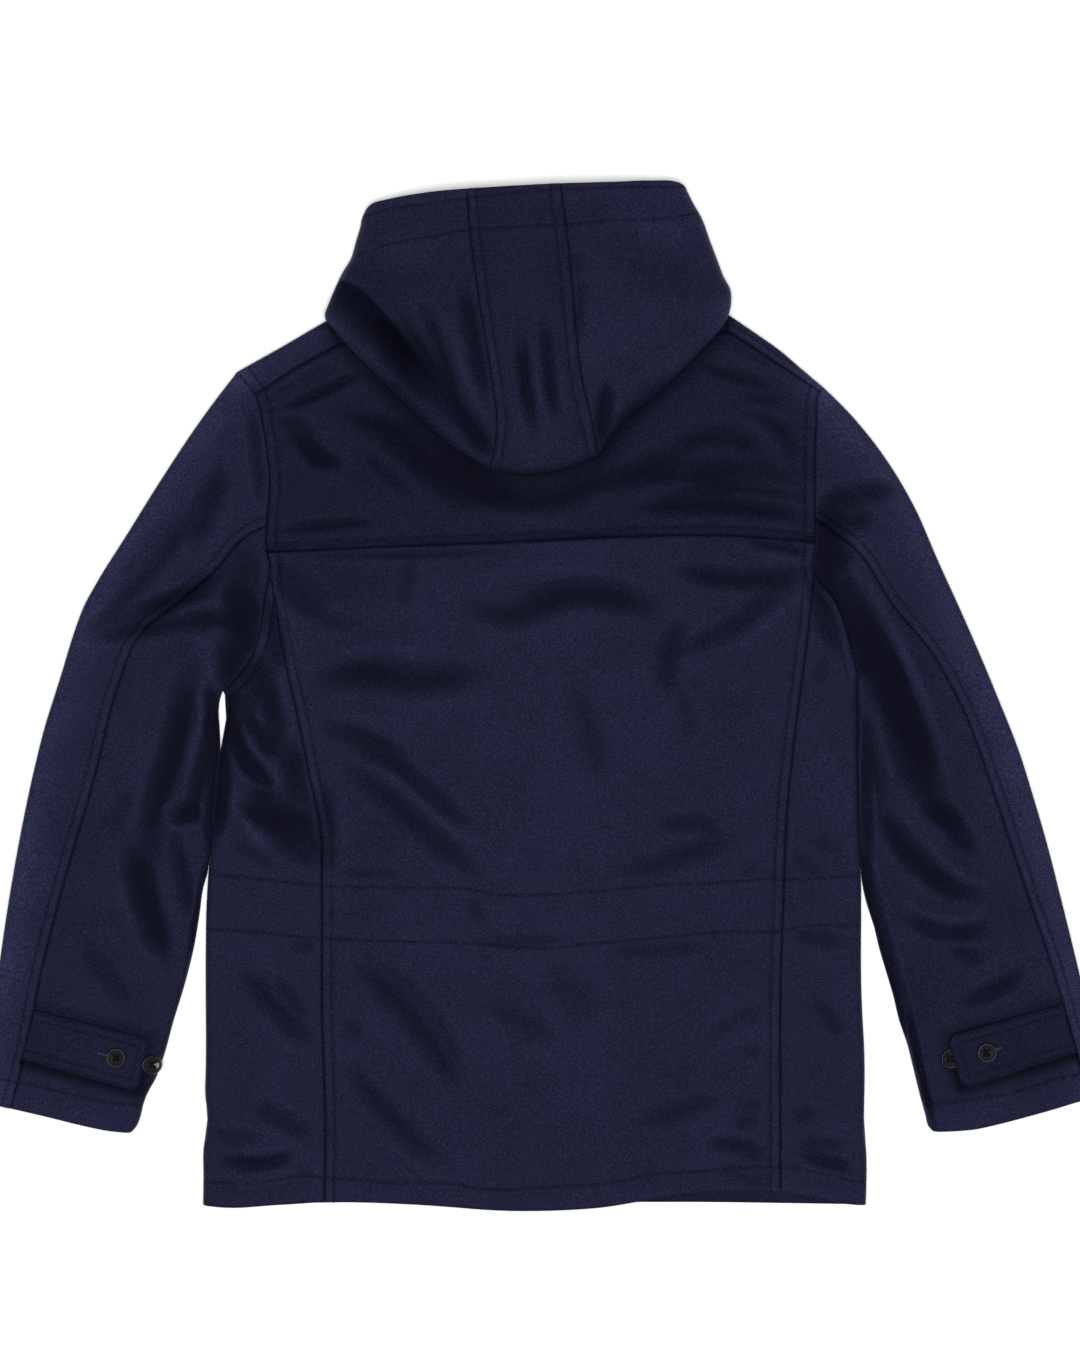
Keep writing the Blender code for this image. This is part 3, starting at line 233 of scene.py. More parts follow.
BACK_FOLDS = [
    (18, -4.2, -207, 442, -168, 457, -103, 452, -32, 461),
    (12, 1.8, -200, 462, -166, 474, -84, 478), (8, 1.4, -190, 422, -145, 420, -100, 412),
    (9, -2.4, -198, 414, -152, 405, -108, 386),
    (13, -3.8, -194, 409, -138, 389, -97, 354, -42, 317), (9, 2.6, -152, 387, -115, 362, -66, 312),
    (13, -3.4, -181, 386, -130, 350, -99, 322, -38, 276),
    (10, -1.8, -229, 546, -198, 510, -147, 498), (15, -4.2, -80, 526, -24, 508, 26, 525, 120, 504),
    (13, 1.6, -70, 540, -12, 546, 50, 548), (11, -2.2, 103, 470, 161, 496, 212, 527),
    (11, 2.0, 151, 470, 189, 494, 218, 520), (7, -3.2, 172, 574, 206, 566, 238, 562),
    (7, 1.2, 182, 562, 224, 556), (11, -4.2, 108, 550, 180, 538, 238, 550),
    (11, -4.0, 230, 566, 242, 516, 257, 468), (12, -2.6, 170, 512, 205, 530, 232, 548),
    (14, -3.2, 128, 510, 112, 476, 111, 430), (28, -1.0, -228, 546, -150, 540, -84, 558),
    (26, -1.2, -60, 522, 30, 530, 112, 514), (11, -3.0, -189, 374, -183, 330, -185, 274),
    (9, -2.4, 95, 325, 130, 330, 166, 316), (17, -1.8, 19, 455, 40, 419, 50, 359),
    (12, -1.0, 120, 450, 127, 419, 130, 400), (12, -2.4, 60, 285, 122, 301, 178, 321),
    (8, -1.0, 173, 286, 193, 293), (11, 2.8, -238, 467, -261, 419, -246, 392, -223, 371),
    (7, -2.8, -265, 407, -246, 371, -226, 362), (8, -1.6, -253, 412, -231, 402, -217, 371),
    (11, 3.0, -224, 360, -261, 350, -250, 325, -219, 298),
    (9, -2.8, -255, 341, -224, 325, -205, 319), (8, -1.2, -212, 304, -198, 293),
    (9, -1.3, -270, 313, -226, 293), (9, -1.3, 233, 317, 262, 304), (9, -1.3, 214, 304, 243, 286),
    (8, -1.5, 245, 474, 238, 448), (15, -2.4, -232, 560, -205, 530, -178, 503),
    (9, -8.0, -272, 420, -273, 365, -280, 306),
    (9, -9.0, -288, 440, -267, 412, -250, 382, -224, 356), (11, -5.0, -228, 341, -196, 324),
    (5, -2.2, -228, 559, -120, 559, -10, 562), (10, -1.2, -112, 562, -118, 505),
    (12, -3.5, -238, 530, -228, 490, -226, 450), (12, -5.5, -244, 486, -233, 432, -220, 380),
    (9, -8.0, -263, 456, -266, 425, -268, 388), (9, -5.0, -252, 424, -238, 400, -224, 382),
    (18, -6.0, -262, 372, -228, 336, -198, 290), (12, -4.0, -206, 374, -199, 330, -193, 282),
    (14, -6.0, -248, 480, -254, 435, -262, 390), (12, -4.5, -216, 405, -212, 365, -217, 332),
    (9, -3.5, -264, 346, -240, 336, -208, 324), (5, -1.6, -178, 287, -112, 286),
]
SKIRT_FOLDS = [
    (13, -3.0, -261, 210, -227, 169, -187, 132), (11, -2.5, -252, 89, -227, 78, -193, 52),
    (8, -2.0, -284, 60, -237, 60), (9, 1.6, -284, 48, -248, 44, -212, 53),
    (8, -4.6, -280, 42, -250, 38, -206, 44), (8, -2.4, -232, 202, -212, 176, -194, 158),
    (9, 1.8, -282, 26, -249, 20, -200, 28), (8, -1.8, -216, 223, -193, 223),
    (16, -3.4, -172, 214, -124, 178, -92, 138, -64, 88), (10, 1.0, -172, 188, -148, 162, -126, 130),
    (13, -2.6, -176, 130, -140, 89, -102, 50, -68, 32), (22, -1.4, 4, 216, 30, 186, 46, 150),
    (8, -1.6, -168, 222, -112, 191, -80, 150, -60, 98), (9, -1.5, -174, 155, -152, 148),
    (13, -1.5, -51, 178, -17, 161, 17, 144), (9, -1.4, -59, 269, -51, 242),
    (13, -2.2, 76, 68, 132, 84, 163, 95), (10, -1.4, 138, 140, 180, 165, 200, 172),
    (12, -1.2, 148, 32, 186, 24, 206, 20), (8, -1.7, 172, 133, 191, 133),
    (8, -1.7, 174, 84, 191, 87), (8, -1.8, 165, 68, 191, 77), (9, -2.8, 138, 54, 174, 50, 200, 40),
    (9, -2.0, 216, 75, 237, 83), (9, -2.2, 218, 52, 265, 52), (8, -3.6, 220, 46, 243, 39, 271, 32),
    (8, 1.6, 218, 38, 243, 29, 273, 22), (10, -2.0, 233, 180, 249, 161, 263, 140),
    (9, -2.0, 210, 229, 237, 231, 263, 218), (7, -1.8, -62, 232, -10, 229, 32, 232),
    (8, -1.8, 52, 222, 110, 221, 154, 226), (8, -8.0, 142, 4, 195, 4, 252, -5),
]
HEM_LIFT = [(34, 6.0, 150, -5, 182, 5, 214, 0)]    # shows the front behind it
SLEEVE_FOLDS = [
    (8, -2.6, -271, 542, -263, 516, -253, 484), (6, -2.0, -258, 538, -245, 501),
    (8, 2.0, -241, 568, -237, 546, -244, 527),
    (13, 3.5, -341, 487, -307, 497, -285, 473, -293, 408, -324, 348),
    (9, 1.6, -324, 352, -316, 328, -307, 322),
    (14, -2.4, -305, 439, -325, 374, -336, 278, -318, 209),
    (8, -2.4, -315, 337, -305, 332, -298, 347), (12, -1.8, -396, 231, -376, 202, -346, 167),
    (10, -2.4, -394, 488, -352, 528, -313, 572, -284, 628),
    (13, -3.4, -304, 556, -286, 600, -270, 648), (11, -5.4, -356, 506, -314, 520, -264, 552),
    (9, -2.4, -406, 490, -350, 510, -304, 521, -256, 534),
    (11, -4.6, -396, 486, -330, 499, -285, 504, -246, 514),
    (26, -3.0, -264, 580, -252, 530, -241, 474), (9, -8.0, -285, 458, -281, 425, -278, 388),
    (8, 1.6, -328, 336, -319, 352, -312, 374), (10, -4.0, -326, 326, -308, 339, -292, 354),
    (15, -5.4, -308, 474, -308, 420, -322, 360, -344, 312),
    (8, -3.0, -318, 334, -308, 290, -299, 236), (7, -2.4, -250, 694, -244, 650, -239, 596),
    (8, -7.0, -272, 428, -277, 380, -282, 332, -285, 298),
    (16, -6.0, -268, 545, -256, 500, -266, 462, -278, 430),
    (10, -3.5, -292, 508, -262, 498, -238, 470), (9, -5.0, -312, 339, -286, 336),
    (6, -5.0, -283, 305, -290, 262, -302, 212), (11, -6.0, -281, 436, -287, 382, -302, 330),
    (14, -6.4, -354, 322, -339, 258, -317, 202), (15, -1.4, -299, 600, -338, 562, -368, 531),
    (12, -1.2, -349, 362, -372, 320), (12, -4.4, 239, 606, 272, 612, 312, 616),
    (17, -5.0, 236, 606, 262, 592, 292, 594), (16, -7.0, 240, 604, 252, 576, 258, 540),
    (14, -7.5, 252, 560, 276, 510, 296, 466, 314, 424, 332, 384, 342, 345),
    (6, -4.0, 268, 532, 289, 492, 304, 463, 318, 425, 335, 384, 342, 355),
    (5, -4.5, 266, 455, 284, 465, 302, 478), (7, -1.5, 239, 585, 250, 566),
    (9, 2.4, 252, 539, 271, 513, 275, 477),
    (19, -8.0, 262, 622, 244, 586, 247, 540, 272, 490, 297, 445, 317, 396, 337, 350, 366, 300),
    (9, 2.4, 272, 560, 303, 500, 322, 462, 338, 422, 354, 384),
    (7, -5.0, 280, 400, 279, 345, 282, 280), (10, -4.0, 243, 585, 245, 530, 254, 470),
    (11, -4.2, 278, 440, 284, 385, 296, 340), (12, -5.6, 288, 354, 314, 308, 348, 277, 390, 266),
    (10, -4.0, 326, 346, 346, 336, 366, 330), (11, 3.0, 328, 332, 361, 284, 390, 275),
    (10, -4.6, 332, 354, 352, 331, 376, 296), (4, -6.0, 314, 186, 323, 134, 333, 90, 342, 54),
    (7, -6.0, 275, 306, 278, 280, 282, 256), (10, 2.8, 300, 274, 357, 243, 395, 268),
    (10, -4.0, 310, 252, 350, 237, 395, 240), (9, -2.4, 350, 222, 386, 209),
    (9, -3.8, 356, 172, 392, 186, 420, 206), (10, -6.5, 276, 330, 283, 262, 301, 196, 319, 120),
    (7, -1.0, 328, 164, 335, 164),
]
HOOD_FOLDS = [
    (11, 1.5, -164, 745, -120, 706, -82, 670, -53, 642),
    (10, -3.4, -68, 806, -60, 760, -51, 715, -46, 676), (9, -2.4, -106, 784, -86, 735, -66, 686),
    (10, -4.4, 60, 712, 55, 682, 52, 648), (7, -1.6, 37, 804, 33, 762, 34, 732),
    (11, 2.2, -87, 783, -68, 718, -50, 672), (8, -3.2, -18, 758, -12, 703, -2, 650),
    (7, -2.8, 2, 772, 8, 715, 16, 660), (7, 1.8, -6, 754, -4, 710, 2, 666),
    (9, 1.6, 14, 728, 27, 672), (9, -1.2, 29, 821, 32, 796), (13, -1.6, 126, 722, 86, 690, 56, 650),
    (10, -3.6, 116, 706, 132, 713, 146, 722), (30, 2.5, 40, 848, 95, 842, 150, 838),
    (26, 1.2, -155, 835, -115, 826, -80, 822),
]


def ease(t):
    """0 below 0, 1 above 1, smooth between."""
    t = np.clip(t, 0.0, 1.0)
    return t * t * (3.0 - 2.0 * t)


def rise(x, start, length):
    """0 up to start, then smoothly up to 1 over a length."""
    return ease((x - start) / length)


def fall(x, start, length):
    """1 up to start, then smoothly down to 0 over a length."""
    return 1.0 - rise(x, start, length)


def bell(x, width, middle=0.0):
    """1 at the middle, fading to both sides over about a width."""
    return np.exp(-((x - middle) / width) ** 2)


def units(vectors):
    """Vectors of length 1."""
    return vectors / np.maximum(np.linalg.norm(vectors, axis=-1, keepdims=True), 1e-9)


def runs_of(points):
    """How far along a row of points each of them is."""
    steps = np.linalg.norm(np.diff(points, axis=0), axis=1)
    return np.concatenate([[0.0], np.cumsum(steps)])


class Line:
    """A smooth line in plan or in space, kept as dense points and measured along its length."""

    def __init__(self, dense):
        self.dense = np.asarray(dense, dtype=float)
        self.run = runs_of(self.dense)
        self.length = self.run[-1]

    @classmethod
    def through(cls, points, density=2.0):
        knots = np.asarray(points, dtype=float).reshape(-1, 2)
        if len(knots) == 2:
            return cls(knots)
        spans = np.linalg.norm(np.diff(knots, axis=0), axis=1)
        rates = np.diff(knots, axis=0) / spans[:, None]
        tangents = np.empty_like(knots)
        before, after = spans[:-1, None], spans[1:, None]
        tangents[1:-1] = (rates[:-1] * after + rates[1:] * before) / (before + after)
        tangents[0] = 1.5 * rates[0] - 0.5 * tangents[1]
        tangents[-1] = 1.5 * rates[-1] - 0.5 * tangents[-2]
        dense = [knots[:1]]
        for i, span in enumerate(spans):
            t = np.linspace(0.0, 1.0, max(2, int(span / density)) + 1)[1:, None]
            start = (1 + 2 * t) * (1 - t) ** 2 * knots[i] + t * (1 - t) ** 2 * span * tangents[i]
            end = t * t * (3 - 2 * t) * knots[i + 1] + t * t * (t - 1) * span * tangents[i + 1]
            dense.append(start + end)
        return cls(np.concatenate(dense))

    def at(self, share):
        run = np.asarray(share, dtype=float) * self.length
        return np.stack([np.interp(run, self.run, axis) for axis in self.dense.T], axis=-1)

    def between(self, start, end):
        """The stretch from the point nearest to start to the one nearest to end."""
        i, j = (int(np.argmin(np.linalg.norm(self.dense - p, axis=1))) for p in (start, end))
        step = 1 if j > i else -1
        stretch = self.dense[i:j + step:step] if j + step >= 0 else self.dense[i::step]
        stretch = stretch.copy()
        stretch[0], stretch[-1] = start, end
        return Line(stretch)

    def reverse(self):
        return Line(self.dense[::-1])

    def beside(self, offset):
        """The line at a distance to its left, or to its right where offset is negative."""
        way = units(np.gradient(self.dense, axis=0))
        return Line(self.dense + offset * np.stack([-way[:, 1], way[:, 0]], axis=1))

    def gap(self, points, within=None):
        """Plan distance from each point."""
        return self.distance(points, within)[0]

    def distance(self, points, within=None):
        """Plan distance from each point, the share of the length where it is nearest, and on
        which side of the line the point is: 1 for its left, -1 for its right.

        Beyond within, the distance is given as infinite.
        """
        shape = points.shape[:-1]
        flat = points.reshape(-1, 2)
        gaps, nearest, sides = np.full(len(flat), np.inf), np.zeros(len(flat)), np.ones(len(flat))
        if within is None:
            chosen = np.arange(len(flat))
        else:
            low, high = self.dense.min(axis=0) - within, self.dense.max(axis=0) + within
            chosen = np.nonzero(((flat > low) & (flat < high)).all(axis=1))[0]
        starts, spans = self.dense[:-1], np.diff(self.dense, axis=0)
        squares = np.maximum((spans ** 2).sum(axis=1), 1e-9)
        for part in np.array_split(chosen, max(1, len(chosen) * len(spans) // 3_000_000)):
            offset = flat[part][:, None, :] - starts[None]
            t = np.clip((offset * spans[None]).sum(axis=2) / squares, 0.0, 1.0)
            away = ((offset - t[..., None] * spans[None]) ** 2).sum(axis=2)
            best = away.argmin(axis=1)
            rows = np.arange(len(part))
            gaps[part] = np.sqrt(away[rows, best])
            nearest[part] = (self.run[best] + t[rows, best] * np.sqrt(squares[best])) / self.length
            way, off = spans[best], offset[rows, best]
            sides[part] = np.where(way[:, 0] * off[:, 1] >= way[:, 1] * off[:, 0], 1.0, -1.0)
        return gaps.reshape(shape), nearest.reshape(shape), sides.reshape(shape)


def edge(name):
    return Line.through(EDGES[name])


def stitch_row(name):
    return Line.through(ROWS[name])


def join(*lines):
    dense = [lines[0].dense]
    for line in lines[1:]:
        dense.append(line.dense[1:])
    return Line(np.concatenate(dense))


# Heights

FOLD_DENSITY = 5.0     # distance between the points of a fold's route
FOLD_REACH = 2.2       # a fold is felt this many half widths away
FOLD_FADE = 0.34       # share of its route over which a fold fades out at either end


def toggle_rise(points):
    """The toggles under the front hold the middle of the coat up."""
    x, y = np.abs(points[..., 0]), points[..., 1]
    across = fall(x, 95.0, 95.0)
    along = rise(y, 35.0, 105.0) * fall(y, 575.0, 160.0)
    return TOGGLE_RISE * across * along


def folds(points, table):
    """Sum of troughs and ridges that narrow and fade out toward both ends of their routes."""
    total = np.zeros(points.shape[:-1])
    for half_width, height, *route in table:
        line = Line.through(route, density=FOLD_DENSITY)
        gap, share, _ = line.distance(points, FOLD_REACH * half_width)
        fade = ease(share / FOLD_FADE) * ease((1.0 - share) / FOLD_FADE)
        off = gap / (half_width * (0.4 + 0.24 * fade))
        total += height * fade * (np.exp(-off ** 1.6) - 0.2 * bell(off, 0.6, 1.9))
    return total


WAVES = np.random.default_rng(7).uniform(size=(24, 3))     # direction, length and phase
WAVE_SHORTEST = 28.0
WAVE_RANGE = 110.0
WAVE_HEIGHT = 0.0011   # as a share of a wave's length


def unevenness(points):
    """Thick cloth never lies quite flat: a sum of long, low waves."""
    total = np.zeros(points.shape[:-1])
    for angle, size, phase in WAVES:
        length = WAVE_SHORTEST + WAVE_RANGE * size
        way = np.array((math.cos(2 * math.pi * angle), math.sin(2 * math.pi * angle)))
        turn = 2 * math.pi * (phase + points @ way / length)
        total += WAVE_HEIGHT * length * np.sin(turn)
    return total


def held_up(lie):
    """Troughs end softly where the layer comes down on the one beneath it."""
    return np.where(lie < 0.0, -DEEPEST * np.tanh(-lie / DEEPEST), lie)


def back_height(points):
    middle = fall(np.abs(points[..., 0]), 45.0, 65.0)
    low_part = fall(points[..., 1], 650.0, 80.0)
    body = LAYER_TOP + toggle_rise(points) + (OVERLAP_STEP + 0.4) * middle * low_part
    lie = folds(points, YOKE_FOLDS + BACK_FOLDS + SKIRT_FOLDS + HEM_LIFT) + unevenness(points)
    return body + held_up(lie)


def sleeve_height(points):
    return LAYER_TOP + held_up(folds(points, SLEEVE_FOLDS) + unevenness(points))


NECK_LEVEL = 690.0     # up to here the hood lies on the yoke
HOOD_CLEAR = 0.9       # between the yoke and the hood's folded side
TUCK_STEP = 7.5        # how far the hood's side drops beside the hanging part
TUCK_VALLEY = 5.5      # and how deep the valley is that runs on from the tuck


def hood_floor(points):
    """What the hood lies on: the yoke, and the surface beyond the shoulders."""
    beyond = rise(points[..., 1], 768.0, 30.0)
    return (back_height(points) + HOOD_CLEAR) * (1.0 - beyond) + LANDING * beyond


# Where the hood's upper part hangs over its folded side, from the outline down to the gusset
HOOD_TUCK = Line.through([(-165, 791.5), (-150, 782.5), (-137.5, 768), (-121.5, 750.5),
                          (-106, 729.5), (-93, 709.5), (-81.5, 689), (-64, 665.5),
                          (-49, 644.5), (-43.5, 636.5)])


def tuck(points):
    """How far the tuck lowers the hood, and how much it is in the shade there."""
    gap, share, side = HOOD_TUCK.distance(points, 60.0)
    above = np.where(np.isfinite(gap), gap, 60.0) * side
    under = np.maximum(-above, 0.0)
    sharp = fall(share, 0.35, 0.55)
    soft = rise(share, 0.1, 0.35) * fall(share, 0.9, 0.1)
    step = TUCK_STEP * sharp * bell(under, 17.0) * fall(above, -1.0, 3.5)
    valley = soft * bell(above, 8.5, 5.0)
    deep = 0.62 + 0.3 * ease(share / 0.3)
    shade = deep * sharp * np.exp(-(under / (43.0 - 15.0 * deep)) ** 4)
    shade *= fall(above, -0.4, 1.6)
    shade = np.maximum(shade, 0.35 * sharp * ease(share / 0.3) * bell(above, 13.0, 8.0))
    return step + TUCK_VALLEY * valley, np.maximum(shade, 0.78 * valley)


def hood_height(points):
    gap = HOOD_OUTLINE.gap(points)
    level = fall(points[..., 1], NECK_LEVEL, 175.0)
    base = (LAYER_TOP + toggle_rise(points) + HOOD_CLEAR) * level + LANDING * (1.0 - level)
    mouth = 1.0 - 0.32 * rise(points[..., 1], 770.0, 110.0)
    swell = HOOD_EDGE + (HOOD_CROWN - HOOD_EDGE) * ease(gap / 85.0)
    lie = folds(points, HOOD_FOLDS) + unevenness(points) - tuck(points)[0]
    return np.maximum(base + swell * mouth + lie, hood_floor(points) + 4.0)


def rounded(top, landing, gap, radius):
    """Height near a folded side: a quarter of an ellipse from the landing up to the top."""
    reach = np.clip(1.0 - gap / radius, 0.0, 1.0)
    return landing + (top - landing) * np.sqrt(1.0 - reach ** 2)


# Sewing, as it shapes the cloth

BAND_HEIGHT = 0.9      # a seam allowance that is sewn down under the cloth
BAND_SLOPE = 1.6       # width over which the cloth climbs onto it
GROOVE_DEPTH = 0.5     # where a row of stitches pulls the cloth down
SEAM_DEPTH = 0.9

# Seams, and how far to the left of each its stitches lie (negative: to the right)
Seam = namedtuple("Seam", "line stitches")
BACK_SEAMS = [
    Seam("yoke_seam", 7.6), Seam("armhole_left", 8.8), Seam("armhole_right", -8.8),
    Seam("princess_left", -8.2), Seam("princess_right", 8.4),
    Seam("shoulder_seam_left", -9.4), Seam("shoulder_seam_right", -6.5),
]
SLEEVE_SEAMS = [Seam("sleeve_left_seam", -8.2), Seam("sleeve_right_seam", 8.0),
                Seam("armhole_left", 0.0), Seam("armhole_right", 0.0)]
HOOD_SEAMS = [Seam("gusset_left", -8.2), Seam("gusset_right", 9.2)]
# Rows of stitches on the back, on the sleeves and on the hood
BACK_ROWS = ["hem", "waist_upper", "waist_lower", "shoulder_left"]
SLEEVE_ROWS = ["cuff_left", "cuff_right", "sleeve_right_front"]
HOOD_ROWS = ["visor", "rim"]
TAB_STITCHES = (2.0, 8.5)      # rows of stitches that far inside a tab's edge
TAB_STEPS = (0.0, 0.35, 0.75, 1.2, 1.6, 2.0, 2.4, 3.0, 4.2, 5.8, 7.2, 7.9, 8.5, 9.1, 9.8, 11.6,
             14.2, 17.2, 20.2)     # rows and columns beside a tab's edge


def groove(points, line):
    """The cloth is pulled down along a row of stitches, and puffs up a little beside it."""
    gap = line.gap(points, 12.0)
    puff = 0.2 * bell(gap, 2.2, 4.0)
    return puff - GROOVE_DEPTH * bell(gap, 1.2)


def sewing(points, seams, rows):
    """How seams, the allowances sewn down beside them and rows of stitches shape the cloth."""
    total = np.zeros(points.shape[:-1])
    for seam in seams:
        line, width = edge(seam.line), abs(seam.stitches)
        gap, _, side = line.distance(points, width + 7.0)
        total -= SEAM_DEPTH * bell(gap, 1.0)
        if width:
            band = ease(gap / BAND_SLOPE) * (1.0 - ease((gap - width + 1.4) / BAND_SLOPE))
            total += BAND_HEIGHT * np.where(side * seam.stitches > 0.0, band, 0.0)
            total += groove(points, line.beside(seam.stitches))
    for name in rows:
        total += groove(points, stitch_row(name))
    return total


# Painted light and shade: each piece is cut at its own angle to the bolt, so its nap catches the
# light its own way, painted as a lighter or darker piece
Cut = namedtuple("Cut", "folds seams rows")
BODY = Cut(YOKE_FOLDS + BACK_FOLDS + SKIRT_FOLDS, BACK_SEAMS, BACK_ROWS)
ARM = Cut(SLEEVE_FOLDS, SLEEVE_SEAMS, SLEEVE_ROWS)
CROWN = Cut(HOOD_FOLDS, HOOD_SEAMS, HOOD_ROWS)
PAINTED_PIECE_LIGHT = {
    "yoke": (BODY, 0.73), "centre_back": (BODY, 1.0), "side_back_left": (BODY, 0.97),
    "side_back_right": (BODY, 0.97), "front_yoke_left": (BODY, 0.95),
    "front_yoke_right": (BODY, 0.95), "upper_sleeve_left": (ARM, 1.03),
    "under_sleeve_left": (ARM, 0.93), "upper_sleeve_right": (ARM, 1.04),
    "under_sleeve_right": (ARM, 0.88), "hood_left": (CROWN, 0.98), "hood_gusset": (CROWN, 0.9),
    "hood_right": (CROWN, 1.03), "cuff_tab_left": (None, 0.8), "cuff_tab_right": (None, 0.72),
}
# Painted highlights along the edges that roll over: line, how much, how far in
RIM_HIGHLIGHTS = [
    ("sleeve_left_outer", 0.75, 22.0), ("sleeve_right_outer", 0.75, 22.0),
    ("cuff_left", 0.36, 22.0), ("cuff_right", 0.36, 22.0), ("shoulder_left", 0.6, 14.0),
    ("shoulder_right", 0.6, 14.0), ("hem_left", 0.12, 10.0), ("hem_middle", 0.12, 10.0),
    ("hem_right", 0.12, 10.0), ("side_right", 0.12, 7.0), ("rim_left", 0.2, 9.0),
    ("rim_middle", 0.15, 8.0), ("rim_right", 0.3, 12.0),
]
SEAM_SHADE = 0.42      # painted shade in a seam and in the stitches beside it
ROW_SHADE = 0.48       # and in a row of stitches of its own
BAND_LIGHT = 1.07      # painted highlight on a seam allowance, which stands up
TROUGH_SHADE = 1.8     # how fast the painted shade deepens into a trough
RIDGE_LIGHT = 0.12     # how much lighter a ridge is painted for each millimetre of its height
HOOD_SHADE = 0.7       # painted shadow beside the hood's outline, which overhangs the back
OUTLINE_LIGHT, OUTLINE_DROP = 0.38, 0.66       # painted highlight on the hood's outline itself, and less of it low down
TAB_SHADE = (0.85, 0.45)       # painted shadow beside a tab, on its hem side and on the others


def painted_shading_of(name, grid):
    """Painted light and shade over a piece: its own painted lightness, darker in seams, rows of
    stitches and troughs and beside the hood and tabs, lighter on ridges, seam allowances and rolled
    edges.
    """
    plan = grid[..., :2]
    cut, light = PAINTED_PIECE_LIGHT.get(name, (None, 1.0))
    shade = np.full(plan.shape[:-1], light)
    if cut is None:
        return shade
    # painted shade in the troughs and painted highlight on the ridges
    lie = folds(plan, cut.folds)
    trough, ridge = np.exp(TROUGH_SHADE * np.tanh(0.16 * lie)), 1.0 + RIDGE_LIGHT * lie
    shade *= np.where(lie < 0.0, trough, ridge)
    # painted light and shade that follow the long, low waves
    shade *= 1.0 + 0.1 * unevenness(plan)
    # painted shade in each seam and its stitches, painted highlight on the allowance beside it
    for seam in cut.seams:
        line = edge(seam.line)
        gap, _, side = line.distance(plan, 14.0)
        shade *= 1.0 - SEAM_SHADE * bell(gap, 1.0)
        if seam.stitches:
            beside = line.beside(seam.stitches).gap(plan, 4.0)
            shade *= 1.0 - SEAM_SHADE * bell(beside, 1.0)
            inside = (side * seam.stitches > 0.0) & (gap < abs(seam.stitches))
            shade *= np.where(inside, BAND_LIGHT, 1.0)
    # painted shade in each row of stitches of its own
    for row in cut.rows:
        shade *= 1.0 - ROW_SHADE * bell(stitch_row(row).gap(plan, 4.0), 1.1)
    # painted highlights along the rolled edges
    for rim, more, reach in RIM_HIGHLIGHTS:
        shade *= 1.0 + more * bell(edge(rim).gap(plan, 3.0 * reach), reach)
    if cut in (CROWN, BODY):
        gap = HOOD_OUTLINE.gap(plan, 40.0)
    # painted shade under the hood's tuck and painted highlight along its outline
    if cut is CROWN:
        low = fall(plan[..., 1], NECK_LEVEL, 50.0)
        light_there = OUTLINE_LIGHT - OUTLINE_DROP * low
        shade *= (1.0 - tuck(plan)[1]) * (1.0 + light_there * bell(gap, 7.0))
    # painted shadow on the back beside the hood
    if cut is BODY:
        shade *= 1.0 - HOOD_SHADE * bell(gap, 10.0)
    # painted shadow beside the cuff tabs
    if cut is ARM:
        for _, start, end, _ in TABS:
            gap, below = tab_gap(plan, start, end)
            shade *= 1.0 - np.where(below, *TAB_SHADE) * bell(gap, 7.0)
    return np.where(grid[..., 2] > LAYER_TOP / 2, shade, light)


# Plan shapes

ROW_STEPS = np.array((-3.4, -1.8, -0.8, 0.0, 0.8, 1.8, 3.4))   # grid rows beside stitches


def follow(plan, routes):
    """Draws a grid's rows together onto each row of stitches that crosses its columns."""
    count, columns = plan.shape[:2]
    steps = np.linalg.norm(np.diff(plan, axis=0), axis=2)
    run = np.vstack([np.zeros((1, columns)), np.cumsum(steps, axis=0)])
    near = len(ROW_STEPS) // 2
    knots = []
    for route in routes:
        line = route if isinstance(route, Line) else stitch_row(route)
        gap, _, side = line.distance(plan)
        signed = gap * side
        crossed = (signed[:-1] * signed[1:] <= 0.0) & (np.minimum(gap[:-1], gap[1:]) < 2.5)
        found = np.nonzero(crossed.any(axis=0))[0]
        first = crossed.argmax(axis=0)[found]
        before, after = signed[first, found], signed[first + 1, found]
        share = before / np.where(before == after, 1.0, before - after)
        at = np.interp(np.arange(columns), found, run[first, found] + share * steps[first, found])
        knots.append((int(round(float(first.mean()))), at))
    knots.sort(key=lambda knot: knot[0])
    old = np.concatenate([[0], *(index + np.arange(-near, near + 1) for index, _ in knots),
                          [count - 1]])
    moved = np.empty_like(plan)
    for column in range(columns):
        new = np.concatenate([[0.0], *(at[column] + ROW_STEPS for _, at in knots),
                              [run[-1, column]]])
        target = np.interp(np.arange(count), old, new)
        for axis in (0, 1):
            moved[:, column, axis] = np.interp(target, run[:, column], plan[:, column, axis])
    return moved


ROLL_ANGLES = np.radians([90.0, 76.0, 62.0, 48.0, 36.0, 24.0, 12.0, 0.0])
SEAM_STEPS = (0.0, 0.6, 1.3, 2.4, 4.3, 6.2, 7.2, 8.0, 8.8, 9.8, 11.6)   # columns beside a seam


def roll_steps(radius):
    """Distances from a folded side at which its columns lie."""
    return radius * (1.0 - np.sin(ROLL_ANGLES))


def shares(widths, left_steps, right_steps, count, stretch=None):
    """Shares across each row: fixed distances at both sides, even cells between them."""
    rows = []
    for width, factor in zip(widths, np.ones(len(widths)) if stretch is None else stretch):
        left, right = [], []
        for steps, found in ((left_steps, left), (right_steps, right)):
            if len(steps) > 0:
                scale = min(factor / width, 0.45 / max(max(steps), 1e-9))
                found.extend(step * scale for step in steps)
        right = [1.0 - share for share in right][::-1]
        start = left[-1] if left else 0.0
        end = right[0] if right else 1.0
        middle = list(np.linspace(start, end, count + 1))
        rows.append(left[:-1] + middle + right[1:])
    return np.array(rows)


